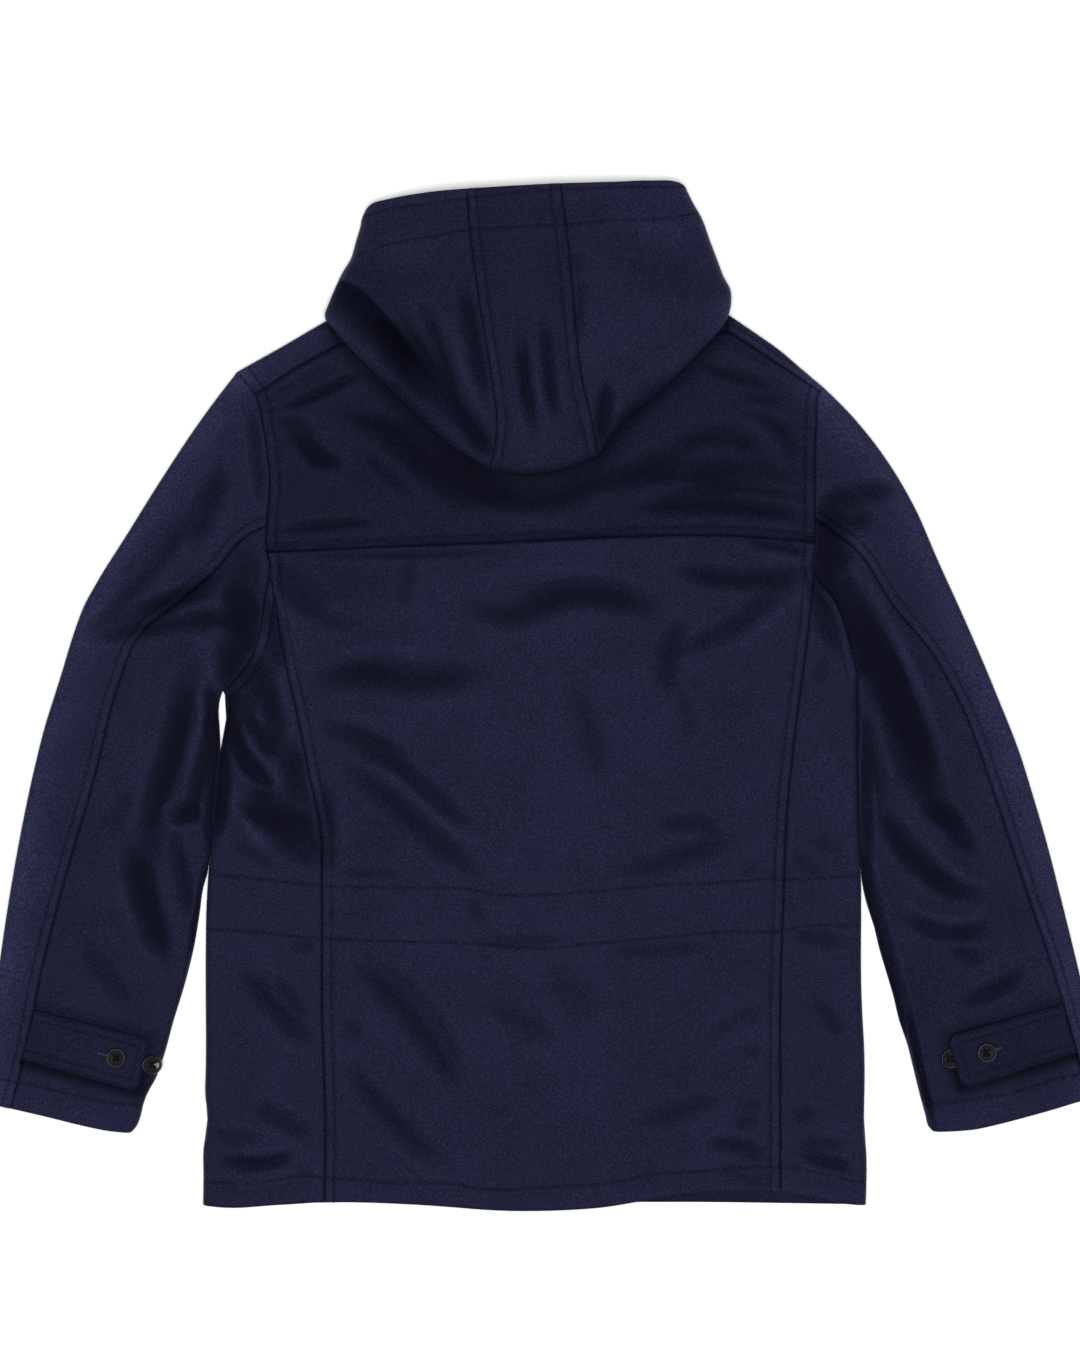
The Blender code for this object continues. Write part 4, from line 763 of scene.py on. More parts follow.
def patch(bottom, top, left_points, right_points, left_steps=(), right_steps=(), cell=TOP_CELL,
          count=None, stretch=None):
    """Plan points of a four-sided piece, rows from bottom to top, columns from left to right."""
    bottom = bottom or Line([left_points[0], right_points[0]])
    top = top or Line([left_points[-1], right_points[-1]])
    rows = np.linspace(0.0, 1.0, len(left_points))
    widths = np.linalg.norm(right_points - left_points, axis=1)
    if count is None:
        count = max(1, round(float(widths.max()) / cell))
    u = shares(widths, left_steps, right_steps, count, stretch)
    low, high = 1.0 - rows[:, None, None], rows[:, None, None]
    across = u[..., None]
    plan = (1 - across) * left_points[:, None] + across * right_points[:, None]
    for end, weight in ((bottom, low), (top, high)):
        bend = end.at(u) - ((1 - across) * end.at(0.0) + across * end.at(1.0))
        plan = plan + weight * bend
    return plan


def even_rows(length, cell, bottom_steps=(), top_steps=()):
    """Shares along a side: even cells, but for fixed distances at its ends."""
    count = max(2, round(length / cell))
    return shares([length], list(bottom_steps), list(top_steps), count)[0]


SIDES = {"left": (np.s_[:, 0], np.s_[:, 1]), "right": (np.s_[:, -1], np.s_[:, -2]),
         "bottom": (np.s_[0], np.s_[1]), "top": (np.s_[-1], np.s_[-2])}


def square_to_side(grid, side):
    """Plan directions square to one side of a grid, pointing into it."""
    outer, inner = SIDES[side]
    inward = (grid[inner] - grid[outer])[:, :2]
    points = grid[outer][:, :2]
    line = np.gradient(points, axis=0)
    ahead = np.vstack([np.diff(points, axis=0), points[-1:] - points[-2:-1]])
    at_fold = np.linalg.norm(line, axis=1) < 0.5 * np.linalg.norm(ahead, axis=1)
    line[at_fold] = ahead[at_fold]
    square = units(np.stack([-line[:, 1], line[:, 0]], axis=-1))
    return square * np.sign(np.sum(square * inward))


def inset(plan, **gaps):
    """Moves the named sides of a grid inward: left, right, bottom, top."""
    moves = [(SIDES[side][0], square_to_side(plan, side) * gap) for side, gap in gaps.items()]
    plan = plan.copy()
    for outer, shift in moves:
        plan[outer] += shift
    return plan


def lift(plan, height):
    """Points in space from points in plan and their heights."""
    return np.concatenate([plan, np.asarray(height)[..., None]], axis=-1)


def level_row(plan, height):
    """Points at one height."""
    return lift(plan, np.full(len(plan), height))


# Meshes

def place(points):
    """Points in metres, in the frame."""
    moved = np.array(points, dtype=float)
    moved[:, :2] -= ORIGIN
    return moved * MM


def add_mesh(name, points, faces, look, slot, smooth=True, painted_shading=None):
    mesh = bpy.data.meshes.new(name)
    mesh.from_pydata(place(points).tolist(), [], faces)
    mesh.materials.append(look)
    if smooth:
        mesh.shade_smooth()
    # the painted light and shade, which the wool's colour is multiplied by
    if painted_shading is not None:
        mesh.attributes.new("painted_shading", "FLOAT", "POINT").data.foreach_set("value", painted_shading)
    made = bpy.data.objects.new(name, mesh)
    bpy.context.scene.collection.objects.link(made)
    if slot:
        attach(made, "root")
    return made


def grid_normals(grid):
    """Vertex normals of a grid of points, from the cells round each point."""
    normals = np.zeros_like(grid)
    a, b, c, d = grid[:-1, :-1], grid[:-1, 1:], grid[1:, 1:], grid[1:, :-1]
    cell = units(np.cross(c - a, d - b))
    for rows in (np.s_[:-1], np.s_[1:]):
        for columns in (np.s_[:-1], np.s_[1:]):
            normals[rows, columns] += cell
    return units(normals)


def sparse(count, stride):
    """Every so many indices, with the last."""
    return np.unique(np.append(np.arange(0, count, stride), count - 1))


def cells_of(index):
    return np.stack([index[:-1, :-1], index[:-1, 1:], index[1:, 1:], index[1:, :-1]],
                    axis=-1).reshape(-1, 4)


def wall(name, outer, painted_shading, look, upright=(), level=()):
    """Closed wall of cloth behind a grid of outer points; its hidden face is coarser.

    The rim is square to the seam on upright sides, horizontal where a folded side lands, and
    plumb where such a side turns back over itself.
    """
    drop = grid_normals(outer)
    for side in (*level, *upright):
        at = SIDES[side][0]
        square = lift(square_to_side(outer, side), np.zeros(len(drop[at])))
        rest = drop[at] - (drop[at] * square).sum(axis=-1, keepdims=True) * square
        length = np.linalg.norm(rest, axis=-1, keepdims=True)
        rim = np.where(length > 0.3, rest / np.maximum(length, 1e-9), drop[at])
        if side in level:
            inward = outer[SIDES[side][1]] - outer[at]
            turned_out = (square[:, :2] * inward[:, :2]).sum(axis=-1, keepdims=True) < 0.0
            folded = (drop[at][:, 2:] < 0.75) & ~turned_out
            rim = np.where(folded, -square, rim)
            rim = np.where(turned_out, (0.0, 0.0, 1.0), rim)
        drop[at] = rim
    rows, columns = outer.shape[:2]
    kept_rows, kept_columns = sparse(rows, INNER_STRIDE), sparse(columns, INNER_STRIDE)
    inner = (outer - CLOTH * drop)[np.ix_(kept_rows, kept_columns)]
    inner[..., 2] = np.maximum(inner[..., 2], 0.0)
    points = np.concatenate([outer.reshape(-1, 3), inner.reshape(-1, 3)])
    index = np.arange(rows * columns).reshape(rows, columns)
    back = rows * columns + np.arange(inner.shape[0] * inner.shape[1]).reshape(inner.shape[:2])
    faces = cells_of(index).tolist() + cells_of(back)[:, ::-1].tolist()
    row_of, column_of = ({int(k): i for i, k in enumerate(kept)}
                         for kept in (kept_rows, kept_columns))
    last_row, last_column = rows - 1, columns - 1
    ring = ([(0, c) for c in range(last_column)] + [(r, last_column) for r in range(last_row)]
            + [(last_row, c) for c in range(last_column, 0, -1)]
            + [(r, 0) for r in range(last_row, 0, -1)])
    stops = [k for k, (r, c) in enumerate(ring) if r in row_of and c in column_of]
    for start, end in zip(stops, stops[1:] + [stops[0] + len(ring)]):
        run = [ring[k % len(ring)] for k in range(start, end + 1)]
        front = [int(index[r, c]) for r, c in reversed(run)]
        behind = [int(back[row_of[r], column_of[c]]) for r, c in (run[0], run[-1])]
        faces.append(front + behind)
    # painted light and shade of each outer point; the hidden face is left plain
    painted_shading = np.concatenate([painted_shading.ravel(), np.full(len(points) - painted_shading.size, 1.0)])
    return add_mesh(name, points, faces, look, "melton", painted_shading=painted_shading)


# Pieces

def armhole_stops(name):
    """Points of an armhole at which the pieces on both sides of it have their corners."""
    line = edge("armhole_" + name)
    corners = ARMHOLE_CORNERS[name]
    stops = [np.array([corners[0]], dtype=float)]
    for start, end, cells in zip(corners, corners[1:], ARMHOLE_CELLS):
        stops.append(line.between(start, end).at(np.linspace(0.0, 1.0, cells + 1)[1:]))
    return np.concatenate(stops)


def princess_points(name):
    """Points along a princess seam: up to the underarm's level, then as the armhole's."""
    line = edge("princess_" + name)
    height = ARMHOLE_CORNERS[name][-1][1]
    level = np.interp(height, line.dense[:, 1], line.run) / line.length
    lower = np.linspace(0.0, level, SIDE_CELLS + 1)
    upper = np.linspace(level, 1.0, UNDERARM - TIP + 1)[1:]
    return line.at(np.concatenate([lower, upper]))


def side_rounding(height, line, points, landing, inset_by=0.0):
    gap = line.gap(points, EDGE_RADIUS + 1.0)
    return rounded(height, landing, gap - inset_by, EDGE_RADIUS)


def back_surface(points):
    height = back_height(points) + sewing(points, BACK_SEAMS, BACK_ROWS)
    for name in SIGNS:
        height = side_rounding(height, edge("side_" + name), points, LANDING, HALF_ARMHOLE)
    return height


def sleeve_surface(points):
    height = sleeve_height(points) + sewing(points, SLEEVE_SEAMS, SLEEVE_ROWS)
    for name in SIGNS:
        height = side_rounding(height, edge(f"sleeve_{name}_inner"), points, LANDING, HALF_ARMHOLE)
        height = side_rounding(height, edge(f"sleeve_{name}_outer"), points, LAYER_TOP / 2)
    return height


def hood_surface(points):
    gap = HOOD_OUTLINE.gap(points)
    height = hood_height(points) + sewing(points, HOOD_SEAMS, HOOD_ROWS)
    return rounded(height, hood_floor(points), gap, HOOD_RADIUS)


def lay_sheet(grid):
    """Measures a piece's outer face: its width, length and area; nothing is done with them."""
    width = np.linalg.norm(np.diff(grid, axis=1), axis=-1).sum(axis=1).max() * MM
    length = np.linalg.norm(np.diff(grid, axis=0), axis=-1).sum(axis=0).max() * MM
    a, b = grid[1:, 1:] - grid[:-1, :-1], grid[1:, :-1] - grid[:-1, 1:]
    area = 0.5 * np.linalg.norm(np.cross(a, b), axis=-1).sum() * MM * MM
    across, along = np.ptp(grid[..., :2].reshape(-1, 2), axis=0) * MM
    if area < across * along < width * length:
        width, length = across, along


def cloth(name, grid, look, upright=("left", "right", "bottom", "top"), level=(),
          painted_shade=1.0):
    """A cut piece: its wall rides on the coat and stands for its solid; its outer face is measured.
    """
    # the wall carries the piece's painted light and shade, times any painted shade given for it
    piece = wall(name + "_cloth", grid, painted_shading_of(name, grid) * painted_shade, look, upright, level)
    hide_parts(name)
    lay_sheet(grid)


def armhole_stretch(arm_rows, folded_rows):
    """The folded side's narrow columns open out along the armhole."""
    opened = np.linspace(ARMHOLE_STRETCH, 1.0, arm_rows + 1)[:-1]
    return np.concatenate([opened, np.ones(folded_rows)])


def build_back(look):
    stops = {name: armhole_stops(name) for name in SIGNS}
    princess = {name: princess_points(name) for name in SIGNS}

    top = join(edge("shoulder_seam_left"), edge("back_neck"), edge("shoulder_seam_right").reverse())
    left, right = (stops[name][YOKE_SEAM:SHOULDER_SEAM - 1:-1] for name in SIGNS)
    plan = patch(edge("yoke_seam"), top, left, right, SEAM_STEPS, SEAM_STEPS)
    plan = inset(plan, left=HALF_ARMHOLE, right=HALF_ARMHOLE, bottom=HALF_SEAM, top=HALF_SEAM)
    plan = follow(plan, (edge("yoke_seam").beside(BACK_SEAMS[0].stitches),))
    cloth("yoke", lift(plan, back_surface(plan)), look)

    left, right = (np.vstack([princess[name], stops[name][PRINCESS - 1:YOKE_SEAM - 1:-1]])
                   for name in SIGNS)
    plan = patch(edge("hem_middle"), edge("yoke_seam"), left, right, SEAM_STEPS, SEAM_STEPS)
    plan = inset(plan, left=HALF_SEAM, right=HALF_SEAM, top=HALF_SEAM)
    plan = follow(plan, ("hem", "waist_lower", "waist_upper"))
    cloth("centre_back", lift(plan, back_surface(plan)), look)

    for name, sign in SIGNS.items():
        outer = np.vstack([edge("side_" + name).at(np.linspace(0.0, 1.0, SIDE_CELLS + 1)),
                           stops[name][UNDERARM - 1:TIP - 1:-1]])
        tip = Line(stops[name][TIP:PRINCESS - 1:-1][::-sign])
        stretch = armhole_stretch(len(outer) - SIDE_CELLS - 1, SIDE_CELLS + 1)[::-1]
        edges, steps = (outer, princess[name])[::-sign], (roll_steps(EDGE_RADIUS), ())[::-sign]
        plan = patch(edge("hem_" + name), tip, *edges, *steps, stretch=stretch)
        plan = inset(plan, **{OTHER[name]: HALF_SEAM, name: HALF_ARMHOLE})
        plan[-1, :, 0] -= sign * HALF_ARMHOLE
        plan = follow(plan, ("hem", "waist_lower", "waist_upper"))
        cloth("side_back_" + name, lift(plan, back_surface(plan)), look,
              upright=(OTHER[name], "top", "bottom"), level=(name,))


def front_height(plan, sign):
    """The left front lies on the right one where they overlap."""
    if sign > 0:
        return toggle_rise(plan)
    climb = rise(plan[..., 0], -CLIMB_START, CLIMB_LENGTH)
    neck = fall(plan[..., 1], 660.0, 60.0)
    return toggle_rise(plan) + OVERLAP_STEP * climb * neck


def thinned(points):
    """Every third point, with the last."""
    return points[sparse(len(points), 3)]


def build_fronts(look):
    """The fronts lie face down, so their outer faces are turned to the surface."""
    for name, sign in SIGNS.items():
        side, stops = edge("side_" + name), armhole_stops(name)
        outer = thinned(np.vstack([side.at(np.linspace(0.0, 1.0, SIDE_CELLS + 1)),
                                   stops[UNDERARM - 1:YOKE_SEAM - 1:-1]]))
        middle_x = -sign * OVERLAP
        middle = np.stack([np.full(len(outer), middle_x),
                           np.linspace(FRONT_HEM, FRONT_SEAM, len(outer))], axis=-1)
        corners = [outer[0], (sign * 150.0, FRONT_HEM), (middle_x, FRONT_HEM)]
        plan = patch(Line(corners[::-sign]), None, *(outer, middle)[::-sign], cell=UNDER_CELL)
        plan = inset(plan, **{name: HALF_ARMHOLE}, top=SEAM_GAP)
        height = front_height(plan, sign) + front_sewing(plan, sign)
        cloth("front_" + name, lift(plan, height)[::-1], look)


def front_sewing(plan, sign):
    """Stitches along a front's edge and hem; its outer face looks down, so they rise."""
    upright = Line([(-sign * EDGE_ROW, 0.0), (-sign * EDGE_ROW, FRONT_SEAM)])
    hem = Line([(-sign * OVERLAP, HEM_ROW), (sign * 290.0, HEM_ROW)])
    raised = np.zeros(plan.shape[:-1])
    for line in (upright, hem):
        raised += GROOVE_DEPTH * bell(line.gap(plan, 12.0), 4.0)
    return raised


def edge_rows(start, end, radius, count=0):
    """Points from a folded edge: the roll's own, then even ones up to the end."""
    start, end = np.asarray(start, dtype=float), np.asarray(end, dtype=float)
    length = np.linalg.norm(end - start)
    runs = roll_steps(radius)
    if count:
        runs = np.concatenate([runs, np.linspace(radius, length, count + 1)[1:]])
    return start + runs[:, None] * (end - start) / length


def build_front_yokes(look):
    """Each reaches from the front yoke seam up, over the shoulder's edge, to the back yoke."""
    for name, sign in SIGNS.items():
        shoulder, stops = edge("shoulder_" + name), armhole_stops(name)
        back_seam = edge("shoulder_seam_" + name)
        neck = np.array(FRONT_NECK[name], dtype=float)
        radius = min(EDGE_RADIUS, 0.9 * np.linalg.norm(stops[SHOULDER_SEAM] - stops[0]))
        strip_outer = edge_rows(stops[0], stops[SHOULDER_SEAM], radius, 8)
        strip_inner = edge_rows(neck[0], back_seam.at(1.0), radius, 8)
        strip = patch(shoulder, back_seam, strip_outer, strip_inner, count=36)
        strip = inset(strip, top=HALF_SEAM, left=HALF_ARMHOLE)
        outer = np.vstack([strip_outer, thinned(stops[SHOULDER_SEAM:YOKE_SEAM + 1])[1:]])
        roll = edge_rows(neck[0], neck[1], radius)
        middle = np.array([(-sign * OVERLAP, neck[-1][1]), (-sign * OVERLAP, FRONT_SEAM)])
        rest = Line(np.vstack([roll[-1:], Line.through(neck).dense[6:], middle]))
        rows = np.linspace(0.0, 1.0, len(outer) - len(roll) + 1)[1:]
        under = patch(shoulder, None, outer, np.vstack([roll, rest.at(rows)]), count=36)
        under = inset(under, top=HALF_SEAM, left=HALF_ARMHOLE, right=HALF_SEAM)
        strip_z = side_rounding(back_surface(strip), shoulder, strip, LAYER_TOP / 2)
        under_z = side_rounding(front_height(under, sign), shoulder, under, LAYER_TOP / 2)
        grid = np.concatenate([lift(strip, strip_z)[:0:-1], lift(under, under_z)])
        cloth("front_yoke_" + name, grid[::-sign], look)


def sleeve_rows(name):
    """Matching points along a sleeve: outer edge, back seam, and armhole with inner edge.

    The first rows start on the cap, before the back seam begins at SLEEVE_SEAM.
    """
    outer, back_seam = edge(f"sleeve_{name}_outer"), edge(f"sleeve_{name}_seam")
    inner, stops = edge(f"sleeve_{name}_inner"), armhole_stops(name)
    seam_level, underarm_level, seam_underarm = SLEEVE_LEVELS[name]
    cap_count = SLEEVE_SEAM - SHOULDER_SEAM
    arm_count = UNDERARM - YOKE_SEAM
    knots = (0, cap_count, cap_count + arm_count, cap_count + arm_count + SLEEVE_CELLS)
    rows = np.arange(knots[-1] + 1)
    outer_points = outer.at(np.interp(rows, knots, (0.0, seam_level, underarm_level, 1.0)))
    seam_points = back_seam.at(np.interp(rows[cap_count:], knots[1:], (0.0, seam_underarm, 1.0)))
    inner_points = np.vstack([stops[YOKE_SEAM:UNDERARM],
                              inner.at(np.linspace(0.0, 1.0, SLEEVE_CELLS + 1))])
    return outer_points, seam_points, inner_points, stops


def build_sleeves(look):
    roll = roll_steps(EDGE_RADIUS)
    for name, sign in SIGNS.items():
        outer = edge(f"sleeve_{name}_outer")
        cuff = edge("cuff_" + name)
        outer_points, seam_points, inner_points, stops = sleeve_rows(name)
        cap_points = stops[SHOULDER_SEAM:SLEEVE_SEAM]
        cuff_outer = cuff.between(cuff.at(0.0), seam_points[-1])
        cuff_inner = cuff.between(seam_points[-1], cuff.at(1.0))

        # the upper sleeve: back strip, folded outer edge and the whole front of the tube
        strip = patch(None, cuff_outer, outer_points, np.vstack([cap_points, seam_points]),
                      roll, SEAM_STEPS)
        strip = follow(inset(strip, right=HALF_SEAM, bottom=HALF_ARMHOLE), ("cuff_" + name,))
        under = patch(None, cuff, outer_points, np.vstack([cap_points, inner_points]),
                      roll, count=16)
        under = inset(under, bottom=HALF_ARMHOLE, right=HALF_ARMHOLE)
        under_z = side_rounding(np.zeros(under.shape[:2]), outer, under, LAYER_TOP / 2)
        grid = np.concatenate([lift(strip, sleeve_surface(strip))[:, :0:-1],
                               lift(under, under_z)], axis=1)
        cloth("upper_sleeve_" + name, grid[::-sign], look)

        # the under sleeve: from the back seam to the inner edge, which comes down on the front
        stretch = armhole_stretch(UNDERARM - YOKE_SEAM, SLEEVE_CELLS + 1)
        start = Line(stops[SLEEVE_SEAM:YOKE_SEAM + 1])
        plan = patch(start, cuff_inner, seam_points, inner_points, SEAM_STEPS, roll,
                     stretch=stretch)
        plan = inset(plan, left=HALF_SEAM, right=HALF_ARMHOLE, bottom=HALF_ARMHOLE)
        plan = follow(plan, ("cuff_" + name,))
        cloth("under_sleeve_" + name, lift(plan, sleeve_surface(plan))[::sign], look,
              upright=("left", "bottom", "top"), level=("right",))


HOOD_OUTLINE = join(*(edge(name) for name in (
    "hood_left_side", "hood_left_corner", "hood_bottom", "hood_right_corner",
    "hood_right_side")))


def hood_side(name):
    """A side of the hood's outline: the stretch that rises to the rim, and the fold below it."""
    side = edge(f"hood_{name}_side")
    corner = edge(f"hood_{name}_corner")
    if name == "left":
        side = side.reverse()
    rising = side.between(HOOD_CORNERS[name], side.at(1.0))
    fold = side.between(side.at(0.0), HOOD_CORNERS[name])
    return rising, join(fold.reverse(), corner) if name == "left" else join(corner, fold)


def build_hood(look):
    gussets = {name: edge("gusset_" + name) for name in SIGNS}
    roll = roll_steps(HOOD_RADIUS)
    rows = even_rows(gussets["left"].length, HOOD_CELL, bottom_steps=roll)
    gussets = {name: line.at(rows) for name, line in gussets.items()}
    for name in ("left", "gusset", "right"):
        sides, steps = dict(gussets), {"left": SEAM_STEPS, "right": SEAM_STEPS}
        gaps = {"left": HALF_HOOD_SEAM, "right": HALF_HOOD_SEAM}
        level, bottom, rim, beside = [], edge("hood_bottom"), "middle", []
        if name != "gusset":
            rising, bottom = hood_side(name)
            sides = {name: rising.at(rows), OTHER[name]: gussets[name]}
            steps[name] = roll
            del gaps[name]
            level, rim, beside = [name], name, ["hood_front_" + name]
        plan = patch(bottom, edge("rim_" + rim), sides["left"], sides["right"],
                     steps["left"], steps["right"], cell=HOOD_CELL)
        plan = follow(inset(plan, **gaps), ("visor", "rim"))
        cloth("hood_" + name, lift(plan, hood_surface(plan)), look,
              upright=(*gaps, "top"), level=(*level, "bottom"))

    # the stretch that lies on the yoke, from the back neck down to the fold
    neck = edge("back_neck").between((-144, 735), (142, 746))
    rows = even_rows(110.0, UNDER_CELL)
    left = Line([(-28, 648), (-88, 704), (-144, 735)])
    right = Line([(38, 655), (92, 714), (142, 746)])
    plan = patch(None, neck, left.at(rows), right.at(rows), cell=UNDER_CELL)
    cloth("hood_back_lower", lift(plan, back_height(plan) + YOKE_CLEARANCE + CLOTH), look)

    # the two stretches on the surface, from the front neck up to the rim
    rows = even_rows(150.0, FRONT_CELL, top_steps=(0.0, 1.5, 3.0, 4.5, 6.0))
    for name, sign in SIGNS.items():
        start, end = HOOD_FRONT_SIDE[name]
        side, top = edge(f"hood_{name}_side"), edge("front_top_" + name)
        side, top = (side.reverse(), top) if sign < 0 else (side, top.reverse())
        neck = Line.through([start] + FRONT_NECK[name][1:])
        middle = Line([FRONT_NECK[name][-1], (sign * 2.0, 872.9)])
        plan = patch(neck, top, side.between(start, end).at(rows), middle.at(rows), cell=FRONT_CELL)
        plan = inset(plan, bottom=SEAM_GAP)
        cloth("hood_front_" + name, lift(plan, toggle_rise(plan))[::sign], look)


# name, start at the sleeve's back seam, free end, lift of the free end
TABS = [
    ("cuff_tab_left", (-438.5, 147.5), (-338.5, 121.0), 0.0),
    ("cuff_tab_right", (453.5, 153.0), (356.5, 124.5), 4.2),
]


def tab_frame(start, end):
    start, end = np.array(start), np.array(end)
    along = (end - start) / np.linalg.norm(end - start)
    return start, along, np.array((-along[1], along[0]))


def tab_gap(plan, start, end):
    """Distance from a tab's outline, 0 under the tab, and whether the point is on its hem side."""
    origin, along, across = tab_frame(start, end)
    run, off = (plan - origin) @ along, (plan - origin) @ across
    beyond = np.maximum(run - TAB_LENGTH, 0.0) + 9.0 * (run < -1.0) * np.maximum(-run, 0.0)
    return np.hypot(beyond, np.maximum(np.abs(off) - TAB_WIDTH / 2, 0.0)), off * across[1] < 0.0


def tab_half_width(run, margin=0.0):
    """Half the tab's width at a distance from its start, or that of a line inside its edge."""
    corner = TAB_CORNER - min(margin, 0.6 * TAB_CORNER)
    short = np.clip(1.0 - (TAB_LENGTH - margin - run) / corner, 0.0, 1.0)
    taper = 1.6 * (1.0 - run / TAB_LENGTH)
    return TAB_WIDTH / 2 - taper - margin - corner * (1.0 - np.sqrt(1.0 - short ** 2))


def tab_height(plan, run, end_lift):
    raised = end_lift * ease((run - TAB_LENGTH + 70.0) / 34.0)
    return sleeve_height(plan) + TAB_GAP + CLOTH + raised


def tab_route(start, end, end_lift, margin):
    """A row of stitches that far inside a tab's edge, round its free end."""
    origin, along, across = tab_frame(start, end)
    last, bend = TAB_LENGTH - margin, np.sin(np.radians(np.linspace(0.0, 90.0, 10)))
    runs = np.concatenate([np.linspace(0.0, last - TAB_CORNER, 30)[:-1],
                           last - TAB_CORNER * (1.0 - bend)])
    half = tab_half_width(runs, margin)
    run = np.concatenate([runs, runs[::-1]])
    offset = np.concatenate([half, -half[::-1]])
    plan = origin + run[:, None] * along + offset[:, None] * across
    return lift(plan, tab_height(plan, run, end_lift) - 0.3)


def build_tabs(look):
    for name, start, end, end_lift in TABS:
        origin, along, across = tab_frame(start, end)
        ends = TAB_LENGTH - np.array(TAB_STEPS)[::-1]
        run = np.concatenate([np.linspace(0.0, ends[0], 56)[:-1], ends])
        share = 1.0 - np.array(TAB_STEPS) / (TAB_WIDTH / 2)
        share = np.concatenate([-share, (0.0,), share[::-1]])
        half = tab_half_width(run)
        offset = share[:, None] * half[None]
        plan = origin + run[None, :, None] * along + offset[..., None] * across
        height = tab_height(plan, run[None], end_lift)
        from_edge = np.minimum(half[None] - np.abs(offset), TAB_LENGTH - run[None])
        height -= 1.1 * np.clip(1.0 - from_edge / 1.6, 0.0, 1.0) ** 2
        # painted shade along the tab's edge, in its rows of stitches and in the buttonhole's slit
        painted_shade = 1.0 - 0.35 * bell(from_edge, 0.9)
        for margin in TAB_STITCHES:
            height -= 0.45 * bell(from_edge, 1.0, margin)
            painted_shade *= 1.0 - SEAM_SHADE * bell(from_edge, 0.9, margin)
        slit = Line(BUTTONHOLES[name]).gap(plan)
        painted_shade *= 1.0 - 0.6 * bell(slit, 0.8)
        cloth(name, lift(plan, height), look,
              painted_shade=painted_shade)


def build_buttonholes(look):
    """A cord of twist binds each buttonhole; its end shows beside the button."""
    for name, start, end, end_lift in TABS:
        origin, along, _ = tab_frame(start, end)
        first, last = (np.array(point) for point in BUTTONHOLES[name])
        way = (last - first) / np.linalg.norm(last - first)
        side = np.array((-way[1], way[0]))
        bend = np.radians(np.linspace(-90.0, 90.0, 9))[:, None]
        plan = np.vstack([first - BINDING_GAP * side,
                          last + BINDING_GAP * (np.cos(bend) * way + np.sin(bend) * side),
                          first + BINDING_GAP * side])
        route = lift(plan, tab_height(plan, (plan - origin) @ along, end_lift) + 0.1)
        binding = tube(route, BINDING_RADIUS, 8, twist=2.0, relief=0.08, step=0.4)
        add_tubes(name + "_buttonhole", [binding], look, "melton")


# Hard pieces

# name, centre, height of its underside above the sleeve, slope across x
BUTTONS = [
    ("button_left_tab", (-363.0, 128.0), TAB_GAP + CLOTH + REST_GAP, 0.0),
    ("button_left_spare", (-332.0, 122.0), 1.0, -0.35),
    ("button_right_tab", (382.0, 133.0), TAB_GAP + CLOTH + REST_GAP + 4.2, 0.0),
    ("button_right_spare", (352.0, 127.0), 0.35, 0.0),
]
HOLE_OFFSET = 2.3 / math.sqrt(2.0)     # from the middle to each of the four holes, along x and y
BUTTON_HOLE = 1.1              # their radius
BUTTONHOLES = {"cuff_tab_left": ((-363.0, 128.0), (-378.5, 132.0)),
               "cuff_tab_right": ((382.0, 133.0), (394.5, 136.8))}
BINDING_GAP = 0.5              # from the slit's middle to the cord that binds it
BINDING_RADIUS = 0.36
STRAND_RADIUS = 0.33           # of the thread that a button is sewn on with


def turned(profile, sides):
    """Points and faces of a shape turned about z from (radius, height) pairs, bottom to top."""
    points = [(0.0, 0.0, profile[0][1])]
    for radius, height in profile:
        for angle in np.linspace(0.0, 2 * math.pi, sides, endpoint=False):
            points.append((radius * math.cos(angle), radius * math.sin(angle), height))
    points.append((0.0, 0.0, profile[-1][1]))
    last = len(points) - 1
    top = 1 + (len(profile) - 1) * sides
    faces = []
    for k in range(sides):
        following = (k + 1) % sides
        faces.append((0, 1 + following, 1 + k))
        for ring in range(len(profile) - 1):
            low, high = 1 + ring * sides, 1 + (ring + 1) * sides
            faces.append((low + k, low + following, high + following, high + k))
        faces.append((top + k, top + following, last))
    return np.array(points), faces


def button_place(name):
    """A button's middle and slope; its underside hovers on its thread shank."""
    centre, gap, slope = next((c, g, s) for n, c, g, s in BUTTONS if n == name)
    return np.array((*centre, float(sleeve_height(np.array(centre))) + gap)), slope


def lean(points, name):
    """Points of a button's own form, leaned over and moved to its place."""
    centre, slope = button_place(name)
    points = np.array(points, dtype=float)
    points[:, 2] += points[:, 0] * slope
    return points + centre


